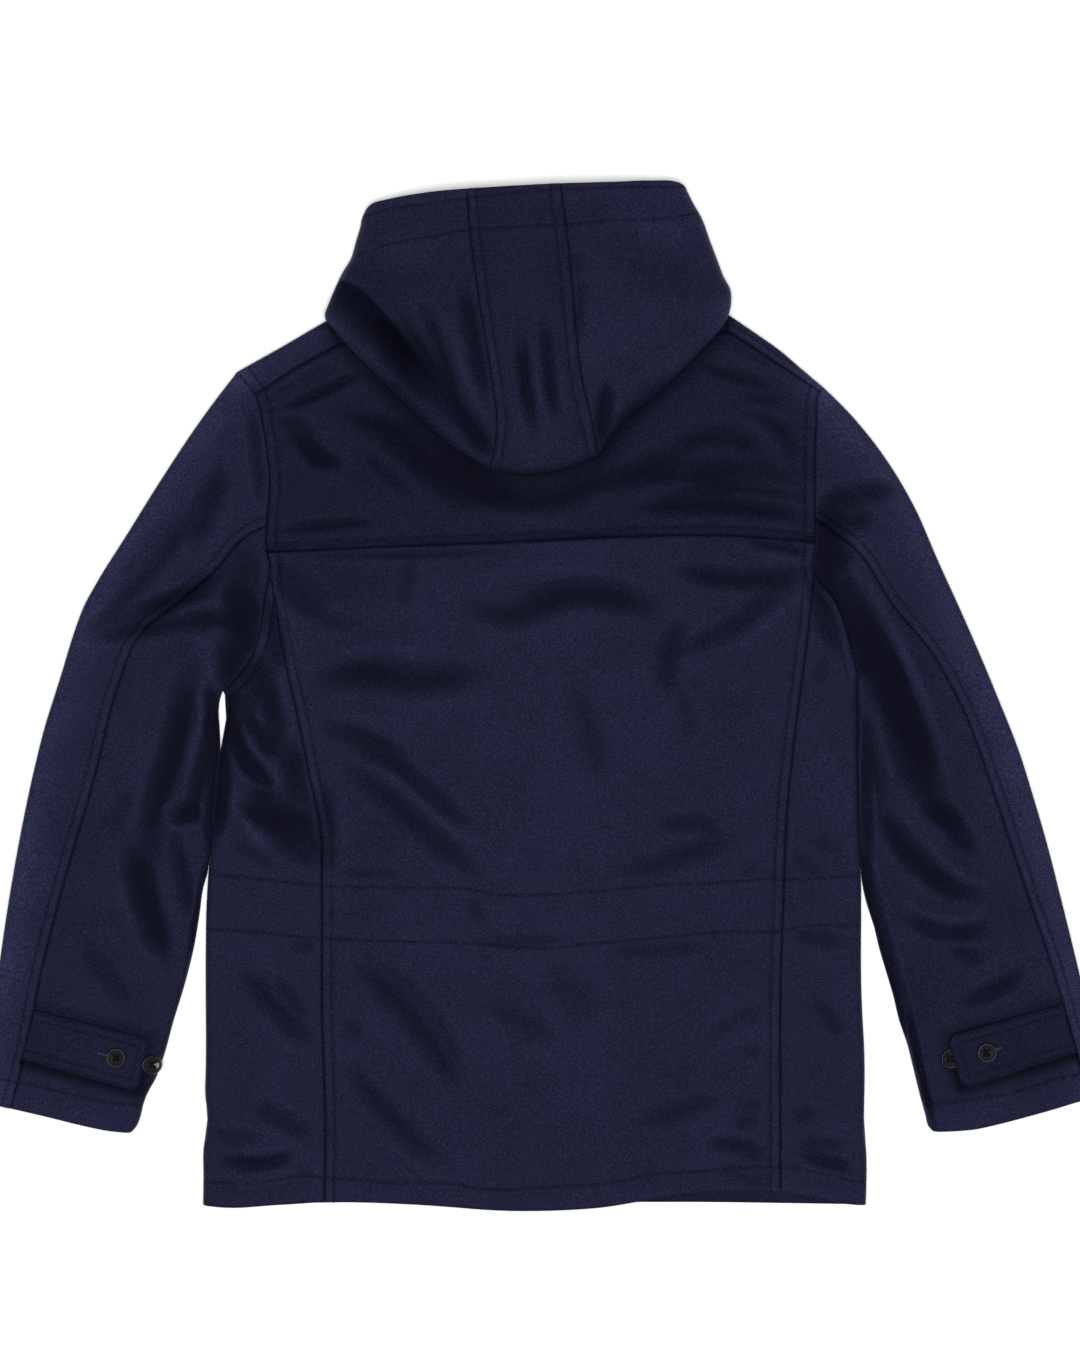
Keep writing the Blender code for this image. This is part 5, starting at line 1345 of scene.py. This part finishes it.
def build_buttons(look, thread):
    rim, deep = BUTTON_DIAMETER / 2, BUTTON_THICKNESS
    profile = [(rim - 2.0, 0.0), (rim - 1.1, 0.25), (rim - 0.4, 0.8), (rim - 0.05, 1.3),
               (rim, 1.7), (rim - 0.05, 2.2), (rim - 0.2, 2.65), (rim - 0.45, deep - 0.2),
               (rim - 0.75, deep), (rim - 1.05, deep - 0.14), (rim - 1.4, deep - 0.45),
               (rim - 1.8, deep - 0.8), (rim - 2.6, deep - 1.1), (rim - 4.0, deep - 1.6),
               (2.8, deep - 2.1), (1.4, deep - 2.6), (0.3, deep - 2.9)]
    hole, hole_faces = turned([(BUTTON_HOLE, -2.0), (BUTTON_HOLE, deep + 2.0)], 16)
    for name, *_ in BUTTONS:
        points, faces = turned(profile, 64)
        button = add_mesh(name + "_disc", lean(points, name), faces, look, "buttons")
        cutters = []
        for x in (-1, 1):
            for y in (-1, 1):
                shift = np.array((x, y, 0.0)) * HOLE_OFFSET
                cutter = add_mesh("hole", lean(hole + shift, name), hole_faces, look, "")
                cut = button.modifiers.new("hole", "BOOLEAN")
                cut.operation, cut.solver, cut.object = "DIFFERENCE", "EXACT", cutter
                cutters.append(cutter)
        settle(button)
        for cutter in cutters:
            bpy.data.objects.remove(cutter)
        button.data.shade_smooth()
        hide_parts(name)
        add_thread_cross(name, thread)


def settle(piece):
    """Turns what a piece's modifiers make into its plain mesh, and takes them off."""
    depsgraph = bpy.context.evaluated_depsgraph_get()
    made = bpy.data.meshes.new_from_object(piece.evaluated_get(depsgraph))
    piece.modifiers.clear()
    piece.data = made


def add_thread_cross(name, look):
    """Two strands over the button in a cross, and its shank down to the cloth."""
    top, bottom = BUTTON_THICKNESS - 1.8, -1.6
    routes = []
    for x, y in ((1, 1), (1, -1)):
        for shift in (-0.28, 0.28):
            side = np.array((-y, x, 0.0)) * shift
            ends = np.array((x, y, 0.0)) * HOLE_OFFSET
            routes.append([-0.9 * ends + side + (0, 0, bottom), -ends + side + (0, 0, top - 0.5),
                           -0.75 * ends + side + (0, 0, top), 0.75 * ends + side + (0, 0, top),
                           ends + side + (0, 0, top - 0.5), 0.9 * ends + side + (0, 0, bottom)])
    tubes = [tube(lean(route, name), STRAND_RADIUS, 8) for route in routes]
    add_tubes(name + "_thread", tubes, look, "buttons")


STRANDS = 3            # that a cord is laid from


def tube(route, radius, sides, twist=0.0, relief=0.0, step=None):
    """Points and faces of a closed tube along a route; relief twists strands into a cord."""
    route = Line(route)
    count = max(2, round(route.length / step) if step else len(route.dense) * 3)
    centre = route.at(np.linspace(0.0, 1.0, count + 1))
    way = units(np.gradient(centre, axis=0))
    up = np.where(np.abs(way[:, 2:]) < 0.9, np.array((0.0, 0.0, 1.0)), np.array((1.0, 0.0, 0.0)))
    across = np.cross(up, way)
    across /= np.linalg.norm(across, axis=1, keepdims=True)
    over = np.cross(way, across)
    angle = np.linspace(0.0, 2 * math.pi, sides, endpoint=False)
    run = np.linspace(0.0, route.length, count + 1)[:, None]
    strands = np.abs(np.cos(0.5 * STRANDS * (angle[None] + twist * run)))
    swell = radius * (1.0 - relief + relief * strands * 2.0)
    ring = (centre[:, None] + (swell * np.cos(angle))[..., None] * across[:, None]
            + (swell * np.sin(angle))[..., None] * over[:, None])
    points = np.concatenate([ring.reshape(-1, 3), centre[[0, -1]]])
    index = np.arange((count + 1) * sides).reshape(count + 1, sides)
    wrapped = np.concatenate([index, index[:, :1]], axis=1)
    faces = cells_of(wrapped)[:, ::-1].tolist()
    start, end = len(points) - 2, len(points) - 1
    for k in range(sides):
        faces.append((start, int(wrapped[0, k]), int(wrapped[0, k + 1])))
        faces.append((end, int(wrapped[-1, k + 1]), int(wrapped[-1, k])))
    return points, faces


def add_tubes(name, tubes, look, slot):
    points, faces = [], []
    for tube_points, tube_faces in tubes:
        start = sum(len(part) for part in points)
        points.append(tube_points)
        faces += [tuple(start + k for k in face) for face in tube_faces]
    return add_mesh(name, np.concatenate(points), faces, look, slot)


def build_toggles(horn, leather, cord):
    """Four toggles under the front, each held by a loop from either side."""
    bulge, half = TOGGLE_DIAMETER / 2, TOGGLE_LENGTH / 2
    share = np.sin(np.radians(np.linspace(-90.0, 90.0, 41)))
    knots = np.array((-1.0, -0.995, -0.94, -0.84, -0.45, 0.0, 0.45, 0.84, 0.94, 0.995, 1.0))
    radii = np.array((1.2, 1.9, 2.8, 3.6, bulge, 3.2, bulge, 3.6, 2.8, 1.9, 1.2))
    profile = [(float(np.interp(s, knots, radii)), float(s) * half) for s in share]
    smooth = np.convolve([p[0] for p in profile], (0.25, 0.5, 0.25), mode="same")
    profile = [(float(r), z) for r, (_, z) in zip(smooth, profile)]
    profile[0], profile[-1] = (1.2, -half), (1.2, half)
    cord_height = TOGGLE_RISE - REST_GAP - CORD_DIAMETER / 2
    patch_height = TOGGLE_RISE - REST_GAP - PATCH_SIZE[2] / 2
    for number, y in enumerate(TOGGLE_ROWS, start=1):
        points, faces = turned(profile, 32)
        lying = np.stack([points[:, 0], points[:, 2] + y, bulge - points[:, 1]], axis=-1)
        toggle = add_mesh(f"toggle_{number}_horn", lying, faces, horn, "toggles")
        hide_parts(f"toggle_{number}")
        for side, sign in SIGNS.items():
            centre = (sign * (PATCH_INNER + PATCH_SIZE[0] / 2), y, patch_height)
            leather_patch(f"patch_{side}_{number}", centre, leather)
            route = loop_route(sign, y, PATCH_INNER - 0.4, cord_height)
            twisted = tube(route, CORD_DIAMETER / 2, 16, twist=0.7, relief=0.07, step=0.9)
            loop = add_tubes(f"loop_{side}_{number}_cord", [twisted], cord, "loops")
            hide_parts(f"loop_{side}_{number}")


def patch_outline(margin):
    """Corners of a leather patch, rounded, that far inside its edge."""
    half_x, half_y = PATCH_SIZE[0] / 2 - margin, PATCH_SIZE[1] / 2 - margin
    radius = PATCH_CORNER - 0.6 * margin
    outline = []
    for corner in range(4):
        middle = ((half_x - radius) * (1, -1, -1, 1)[corner],
                  (half_y - radius) * (1, 1, -1, -1)[corner])
        for angle in np.radians(90.0 * corner + np.linspace(0.0, 90.0, 6)):
            outline.append((middle[0] + radius * math.cos(angle),
                            middle[1] + radius * math.sin(angle)))
    return np.array(outline)


def leather_patch(name, centre, look):
    """A flat patch with rounded corners and softened edges; its face looks down."""
    half_z = PATCH_SIZE[2] / 2
    rings = [(0.5, half_z), (0.12, half_z - 0.2), (0.0, half_z - 0.6), (0.0, 0.7 - half_z),
             (0.15, 0.25 - half_z), (0.6, -half_z), (2.0, 0.12 - half_z), (2.6, 0.3 - half_z),
             (3.2, 0.12 - half_z), (4.5, -half_z)]
    points = np.concatenate([level_row(patch_outline(margin), height) for margin, height in rings])
    index = np.arange(len(points)).reshape(len(rings), -1)
    wrapped = np.concatenate([index, index[:, :1]], axis=1)
    faces = cells_of(wrapped).tolist()
    faces.append(tuple(int(k) for k in index[0]))
    faces.append(tuple(int(k) for k in index[-1][::-1]))
    made = add_mesh(name + "_leather", points + centre, faces, look, "patches")
    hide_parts(name)


def loop_route(sign, y, start, height):
    """Two strands from a patch, joined by a bend under the toggle's waist."""
    route = [(start, -LOOP_HALF_GAP)]
    for angle in np.radians(np.linspace(-90.0, 90.0, 17)):
        route.append((2.0 + LOOP_HALF_GAP - LOOP_HALF_GAP * math.cos(angle),
                      LOOP_HALF_GAP * math.sin(angle)))
    route.append((start, LOOP_HALF_GAP))
    return [(sign * run, y + off, height) for run, off in route]


# Stitches

STITCH_PITCH = 3.2
STITCH_LENGTH = 2.7
STITCH_RAISE = 0.35    # the fronts' stitches stand this far off their faces
THREAD = 0.65
ROW_SPACING = 1.6      # between the points of a row of stitches
# How much of a row is left out at its start, where it would pass the cloth's edge
ROW_STARTS = {"armhole_left": 6.0, "armhole_right": 5.0, "shoulder_seam_right": 18.0, "rim": 4.5}


def on_surface(line, height, raised=0.0, start=0.0):
    count = max(2, round((line.length - start) / ROW_SPACING)) + 1
    points = line.at(np.linspace(start / line.length, 1.0, count))
    return lift(points, height(points) + raised)


def cloth_rows():
    """Rows of stitches that show on the cloth, as points in space."""
    rows = []
    for seams, single, height in ((BACK_SEAMS, BACK_ROWS, back_surface),
                                  (SLEEVE_SEAMS, SLEEVE_ROWS, sleeve_surface),
                                  (HOOD_SEAMS, HOOD_ROWS, hood_surface)):
        for seam in seams:
            if seam.stitches:
                rows.append(on_surface(edge(seam.line).beside(seam.stitches), height,
                                       start=ROW_STARTS.get(seam.line, 0.0)))
        rows += [on_surface(stitch_row(name), height, start=ROW_STARTS.get(name, 0.0))
                 for name in single]
    for _, start, end, end_lift in TABS:
        rows += [tab_route(start, end, end_lift, margin) for margin in TAB_STITCHES]
    return rows


def front_rows():
    """Rows of stitches along the fronts' edges and hems, on their faces that look down."""
    rows = []
    for sign in SIGNS.values():
        upright = Line([(-sign * EDGE_ROW, HEM_ROW - 2.0), (-sign * EDGE_ROW, 560.0)])
        hem = Line([(-sign * EDGE_ROW, HEM_ROW), (sign * 280.0, HEM_ROW)])
        rows += [on_surface(line, lambda plan: front_height(plan, sign), STITCH_RAISE)
                 for line in (upright, hem)]
    return rows


def patch_rows():
    """A row of stitches round each leather patch."""
    outline = patch_outline(PATCH_ROW)
    ring = np.vstack([outline, outline[:1]])
    height = TOGGLE_RISE - REST_GAP - PATCH_SIZE[2] + 0.15
    return [level_row(ring + (sign * (PATCH_INNER + PATCH_SIZE[0] / 2), y), height)
            for y in TOGGLE_ROWS for sign in SIGNS.values()]


def stitch_tree(look):
    """Rows of points become rows of stitches: capsules laid along each row."""
    tree = bpy.data.node_groups.new("stitch_rows", "GeometryNodeTree")
    sockets = tree.interface
    sockets.new_socket("Rows", in_out="INPUT", socket_type="NodeSocketGeometry")
    for label in ("Pitch", "Length", "Thread"):
        sockets.new_socket(label, in_out="INPUT", socket_type="NodeSocketFloat")
    sockets.new_socket("Seed", in_out="INPUT", socket_type="NodeSocketInt")
    sockets.new_socket("Stitches", in_out="OUTPUT", socket_type="NodeSocketGeometry")
    given = tree.nodes.new("NodeGroupInput")
    route = add_node(tree, "GeometryNodeMeshToCurve", Mesh=given.outputs["Rows"])
    spaced = add_node(tree, "GeometryNodeResampleCurve", {"mode": "LENGTH"},
                      Curve=route.outputs["Curve"], Length=given.outputs["Pitch"])
    capsule = add_node(tree, "GeometryNodeMeshUVSphere", Segments=6, Rings=5, Radius=0.5)
    tangent = add_node(tree, "GeometryNodeInputTangent")
    turn = add_node(tree, "FunctionNodeAlignRotationToVector", {"axis": "Z"},
                    Vector=tangent.outputs["Tangent"])
    chance = add_node(tree, "FunctionNodeRandomValue", Min=0.86, Max=1.1,
                      Seed=given.outputs["Seed"])
    chance.data_type = "FLOAT"
    uneven = add_node(tree, "ShaderNodeMath", {"operation": "MULTIPLY"})
    link(tree, given.outputs["Length"], uneven.inputs[0])
    link(tree, next(s for s in chance.outputs if s.type == "VALUE" and s.enabled), uneven.inputs[1])
    size = add_node(tree, "ShaderNodeCombineXYZ", X=given.outputs["Thread"],
                    Y=given.outputs["Thread"], Z=uneven.outputs["Value"])
    stitches = add_node(tree, "GeometryNodeInstanceOnPoints", Points=spaced.outputs["Curve"],
                        Instance=capsule.outputs["Mesh"], Rotation=turn.outputs["Rotation"],
                        Scale=size.outputs["Vector"])
    real = add_node(tree, "GeometryNodeRealizeInstances", Geometry=stitches.outputs["Instances"])
    painted = add_node(tree, "GeometryNodeSetMaterial", Geometry=real.outputs["Geometry"],
                       Material=look)
    made = tree.nodes.new("NodeGroupOutput")
    link(tree, painted.outputs["Geometry"], made.inputs["Stitches"])
    return tree


def stitch(name, rows, look, seed, pitch=STITCH_PITCH, length=STITCH_LENGTH):
    """Makes a piece of stitches along rows of points."""
    points, edges = [], []
    for row in rows:
        start = sum(len(part) for part in points)
        points.append(row)
        edges += [(start + k, start + k + 1) for k in range(len(row) - 1)]
    mesh = bpy.data.meshes.new(name)
    mesh.from_pydata(place(np.concatenate(points)).tolist(), edges, [])
    holder = bpy.data.objects.new(name, mesh)
    bpy.context.scene.collection.objects.link(holder)
    tree = stitch_tree(look)
    stitching = holder.modifiers.new("stitching", "NODES")
    stitching.node_group = tree
    values = {"Pitch": pitch * MM, "Length": length * MM, "Thread": THREAD * MM, "Seed": seed}
    for socket in tree.interface.items_tree:
        if socket.in_out == "INPUT" and socket.name in values:
            stitching[socket.identifier] = values[socket.name]
    settle(holder)
    holder.data.shade_smooth()
    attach(holder, "root")


# Materials

def linear(colour):
    """An sRGB hex colour as the shader's linear one."""
    values = [int(colour[k:k + 2], 16) / 255.0 for k in (1, 3, 5)]
    return (*(v / 12.92 if v <= 0.04045 else ((v + 0.055) / 1.055) ** 2.4 for v in values), 1.0)


def link(tree, source, target):
    tree.links.new(source, target)


def add_node(tree, kind, settings=(), **inputs):
    """A node with its settings and its inputs, each a value or another node's output."""
    made = tree.nodes.new(kind)
    for name, value in dict(settings).items():
        setattr(made, name, value)
    for name, value in inputs.items():
        label = name.replace("_", " ")
        socket = next(s for s in made.inputs if s.name == label and s.enabled)
        if isinstance(value, bpy.types.NodeSocket):
            link(tree, value, socket)
        else:
            socket.default_value = value
    return made


class Finish:
    """A material under way: its shader, and where its patterns are read from."""

    def __init__(self, name, **surface):
        self.look = bpy.data.materials.new(name)
        self.look.use_nodes = True
        self.tree = self.look.node_tree
        self.shader = self.tree.nodes["Principled BSDF"]
        for label, value in surface.items():
            self.shader.inputs[label.replace("_", " ")].default_value = value
        where = self.tree.nodes.new("ShaderNodeTexCoord")
        self.where = where.outputs["Object"]
        self.normal = None

    def noise(self, size, detail=3.0, roughness=0.55, where=None, distortion=0.0):
        """Noise whose patches are about size millimetres across."""
        made = add_node(self.tree, "ShaderNodeTexNoise", Vector=where or self.where,
                        Scale=1.0 / (size * MM), Detail=detail, Roughness=roughness,
                        Distortion=distortion)
        return made.outputs["Fac"]

    def stretched(self, ratio, angle=0.0):
        """The object's coordinates, longer along one way so that noise draws fibres."""
        turn = add_node(self.tree, "ShaderNodeMapping", Vector=self.where,
                        Rotation=(0.0, 0.0, angle), Scale=(1.0, ratio, 1.0))
        return turn.outputs["Vector"]

    def ramp(self, source, *stops):
        """A colour ramp over (position, colour) stops."""
        made = add_node(self.tree, "ShaderNodeValToRGB", Fac=source)
        elements = made.color_ramp.elements
        while len(elements) < len(stops):
            elements.new(0.5)
        for element, (position, colour) in zip(elements, stops):
            element.position = position
            element.color = linear(colour) if isinstance(colour, str) else (colour,) * 3 + (1,)
        return made.outputs["Color"]

    def mix(self, share, first, second, blend="MIX"):
        made = self.tree.nodes.new("ShaderNodeMix")
        made.data_type, made.blend_type = "RGBA", blend
        for socket, value in zip((made.inputs[0], made.inputs[6], made.inputs[7]),
                                 (share, first, second)):
            if isinstance(value, bpy.types.NodeSocket):
                link(self.tree, value, socket)
            else:
                socket.default_value = value
        return made.outputs[2]

    def bump(self, source, deep):
        """Relief of that many millimetres, on top of what is there."""
        made = add_node(self.tree, "ShaderNodeBump", Height=source, Distance=deep * MM,
                        Strength=1.0)
        if self.normal is not None:
            link(self.tree, self.normal, made.inputs["Normal"])
        self.normal = made.outputs["Normal"]
        link(self.tree, self.normal, self.shader.inputs["Normal"])

    def paint(self, source):
        link(self.tree, source, self.shader.inputs["Base Color"])


def milled_melton():
    # wool woven, then milled and sheared until no weave shows: a matt, felted navy, cloudy
    # over a hand's width, with a fine nap and a few paler fibres in it
    wool = Finish("milled_melton_navy", Roughness=0.5, Sheen_Weight=0.04, Sheen_Roughness=0.5,
                  Sheen_Tint=linear("#8a90c8"), Specular_IOR_Level=0.065,
                  Specular_Tint=linear("#a0a4dc"))
    cloud = wool.ramp(wool.noise(34.0, 3.0), (0.32, "#131426"), (0.7, "#1b1c30"))
    # the felt's own mottle is about 1 mm; it is drawn at 1.4 mm so that it shows from a step away
    mottle = wool.ramp(wool.noise(1.4, 3.0, 0.7), (0.3, "#05060c"), (0.5, "#161729"),
                       (0.72, "#313249"))
    ground = wool.mix(0.62, cloud, mottle)
    # single fibres are 0.03 mm thick; they are drawn 0.9 mm wide
    lint = wool.ramp(wool.noise(0.9, 2.0, 0.5, wool.stretched(0.35, 0.6)), (0.70, 0.0), (0.80, 1.0))
    lint_share = add_node(wool.tree, "ShaderNodeMath", {"operation": "MULTIPLY"})
    link(wool.tree, lint, lint_share.inputs[0])
    lint_share.inputs[1].default_value = 0.4
    fibres = wool.mix(lint_share.outputs[0], ground, linear("#484a70"))
    # painted light and shade, kept on each piece as an attribute, multiply the wool's colour: shade
    # in seams, rows and troughs, highlights on ridges and edges
    painted_shading = add_node(wool.tree, "ShaderNodeAttribute", {"attribute_name": "painted_shading"})
    wool.paint(wool.mix(1.0, fibres, painted_shading.outputs["Color"], "MULTIPLY"))
    # relief: soft lumps, the felt's grain and single hairs
    wool.bump(wool.noise(7.0, 2.0), 0.4)
    wool.bump(wool.noise(2.2, 4.0, 0.7), 0.5)
    wool.bump(wool.noise(0.9, 2.0, 0.6, wool.stretched(0.4, -0.5)), 0.25)
    return wool.look


def cotton_thread(name, dark, middle, pale):
    # spun sewing thread, matt; its paler patches are painted glints where a stitch catches the
    # light
    thread = Finish(name, Roughness=0.85, Specular_IOR_Level=0.1)
    thread.paint(thread.ramp(thread.noise(3.0, 2.0), (0.38, dark), (0.58, middle), (0.72, pale)))
    return thread.look


def silk_twist():
    # buttonhole twist: a firm, glossier thread in a paler blue than the wool
    twist = Finish("buttonhole_twist_blue", Roughness=0.45, Specular_IOR_Level=0.3)
    twist.paint(twist.ramp(twist.noise(0.9, 1.0), (0.35, "#181b34"), (0.7, "#2f3664")))
    return twist.look


def polished_horn(name, dark, pale, gloss):
    # horn cut and polished: brown-black with paler streaks along it, under a clear gloss
    horn = Finish(name, Roughness=gloss, Coat_Weight=0.22, Coat_Roughness=0.05,
                  Specular_IOR_Level=0.25)
    streaks = horn.noise(2.4, 4.0, 0.6, horn.stretched(0.22, 0.4), 0.6)
    horn.paint(horn.ramp(streaks, (0.35, dark), (0.66, dark), (0.86, pale)))
    horn.bump(streaks, 0.05)
    return horn.look


def cut_leather():
    # vegetable-tanned cowhide, dyed through: a pebbled grain with darker pores
    hide = Finish("cut_leather_dark_brown", Roughness=0.55, Specular_IOR_Level=0.4)
    pebble = add_node(hide.tree, "ShaderNodeTexVoronoi", {"feature": "SMOOTH_F1"},
                      Vector=hide.where, Scale=1.0 / (1.1 * MM))
    dye = hide.ramp(hide.noise(9.0), (0.3, "#1d130e"), (0.7, "#32221a"))
    pores = hide.ramp(pebble.outputs["Distance"], (0.0, "#3a2a20"), (0.6, "#160e0a"))
    hide.paint(hide.mix(0.5, dye, pores))
    hide.bump(pebble.outputs["Distance"], 0.12)
    return hide.look


def twisted_cord():
    # waxed cotton cord laid from three strands: matt, with fine ply lines along each strand
    cord = Finish("waxed_cotton_cord", Roughness=0.7, Specular_IOR_Level=0.3)
    ply = cord.noise(0.8, 2.0, 0.5, cord.stretched(0.3, 0.8))
    cord.paint(cord.ramp(ply, (0.3, "#14100d"), (0.7, "#2e251d")))
    cord.bump(ply, 0.15)
    return cord.look


def pale_floor():
    # matt painted board
    board = Finish("painted_board_white", Roughness=0.9, Specular_IOR_Level=0.1)
    board.paint(board.ramp(board.noise(300.0), (0.3, "#f6f6f6"), (0.7, "#f8f8f8")))
    return board.look


# Stage

CAMERA_MIDDLE = (0.0, 455.8)   # what the camera looks straight down on
CAMERA_HEIGHT = 2741.2
LENS = 85.0
FLOOR_HALF = 3000.0
FLOOR_TOP = -0.3
WORLD_STRENGTH = 0.4
# Softboxes, in metres and watts: name, place, where it points, size across and up, power
LIGHTS = [("overhead_softbox", (0.0, -0.4, 3.2), (0.0, 0.0, 0.0), (2.0, 2.0), 105.0)]


def build_stage():
    corners = [(x * FLOOR_HALF, y * FLOOR_HALF, FLOOR_TOP)
               for x, y in ((-1, -1), (1, -1), (1, 1), (-1, 1))]
    add_mesh("floor", corners, [(0, 1, 2, 3)], pale_floor(), "", smooth=False)

    lens = bpy.data.cameras.new("camera")
    lens.lens = LENS
    camera = bpy.data.objects.new("camera", lens)
    camera.location = place([(*CAMERA_MIDDLE, CAMERA_HEIGHT)])[0]
    bpy.context.scene.collection.objects.link(camera)
    bpy.context.scene.camera = camera

    for name, where, target, size, power in LIGHTS:
        lamp = bpy.data.lights.new(name, "AREA")
        lamp.shape, lamp.size, lamp.size_y, lamp.energy = "RECTANGLE", *size, power
        light = bpy.data.objects.new(name, lamp)
        light.location = where
        light.rotation_euler = (Vector(target) - Vector(where)).to_track_quat("-Z", "Y").to_euler()
        bpy.context.scene.collection.objects.link(light)

    world = bpy.data.worlds.new("studio")
    world.use_nodes = True
    world.node_tree.nodes["Background"].inputs["Color"].default_value = (1.0, 1.0, 1.0, 1.0)
    world.node_tree.nodes["Background"].inputs["Strength"].default_value = WORLD_STRENGTH
    bpy.context.scene.world = world
    bpy.context.scene.view_settings.view_transform = "Standard"


def main():
    build_stage()
    wool = milled_melton()
    thread = cotton_thread("sewing_thread_navy", "#0a0b15", "#1a1c32", "#363b62")
    black = cotton_thread("button_thread_black", "#08080a", "#101014", "#1c1c22")
    build_fronts(wool)
    build_front_yokes(wool)
    build_back(wool)
    build_sleeves(wool)
    build_hood(wool)
    build_tabs(wool)
    build_buttonholes(silk_twist())
    stitch("cloth_stitches", cloth_rows(), thread, 3)
    stitch("front_stitches", front_rows(), thread, 5)
    build_buttons(polished_horn("tortoise_horn_black", "#0b0909", "#4a2c18", 0.18), black)
    build_toggles(polished_horn("buffalo_horn_brown", "#2a1a10", "#8a6a48", 0.3), cut_leather(),
                  twisted_cord())
    stitch("patch_stitches", patch_rows(), thread, 9, pitch=3.0, length=2.4)


main()
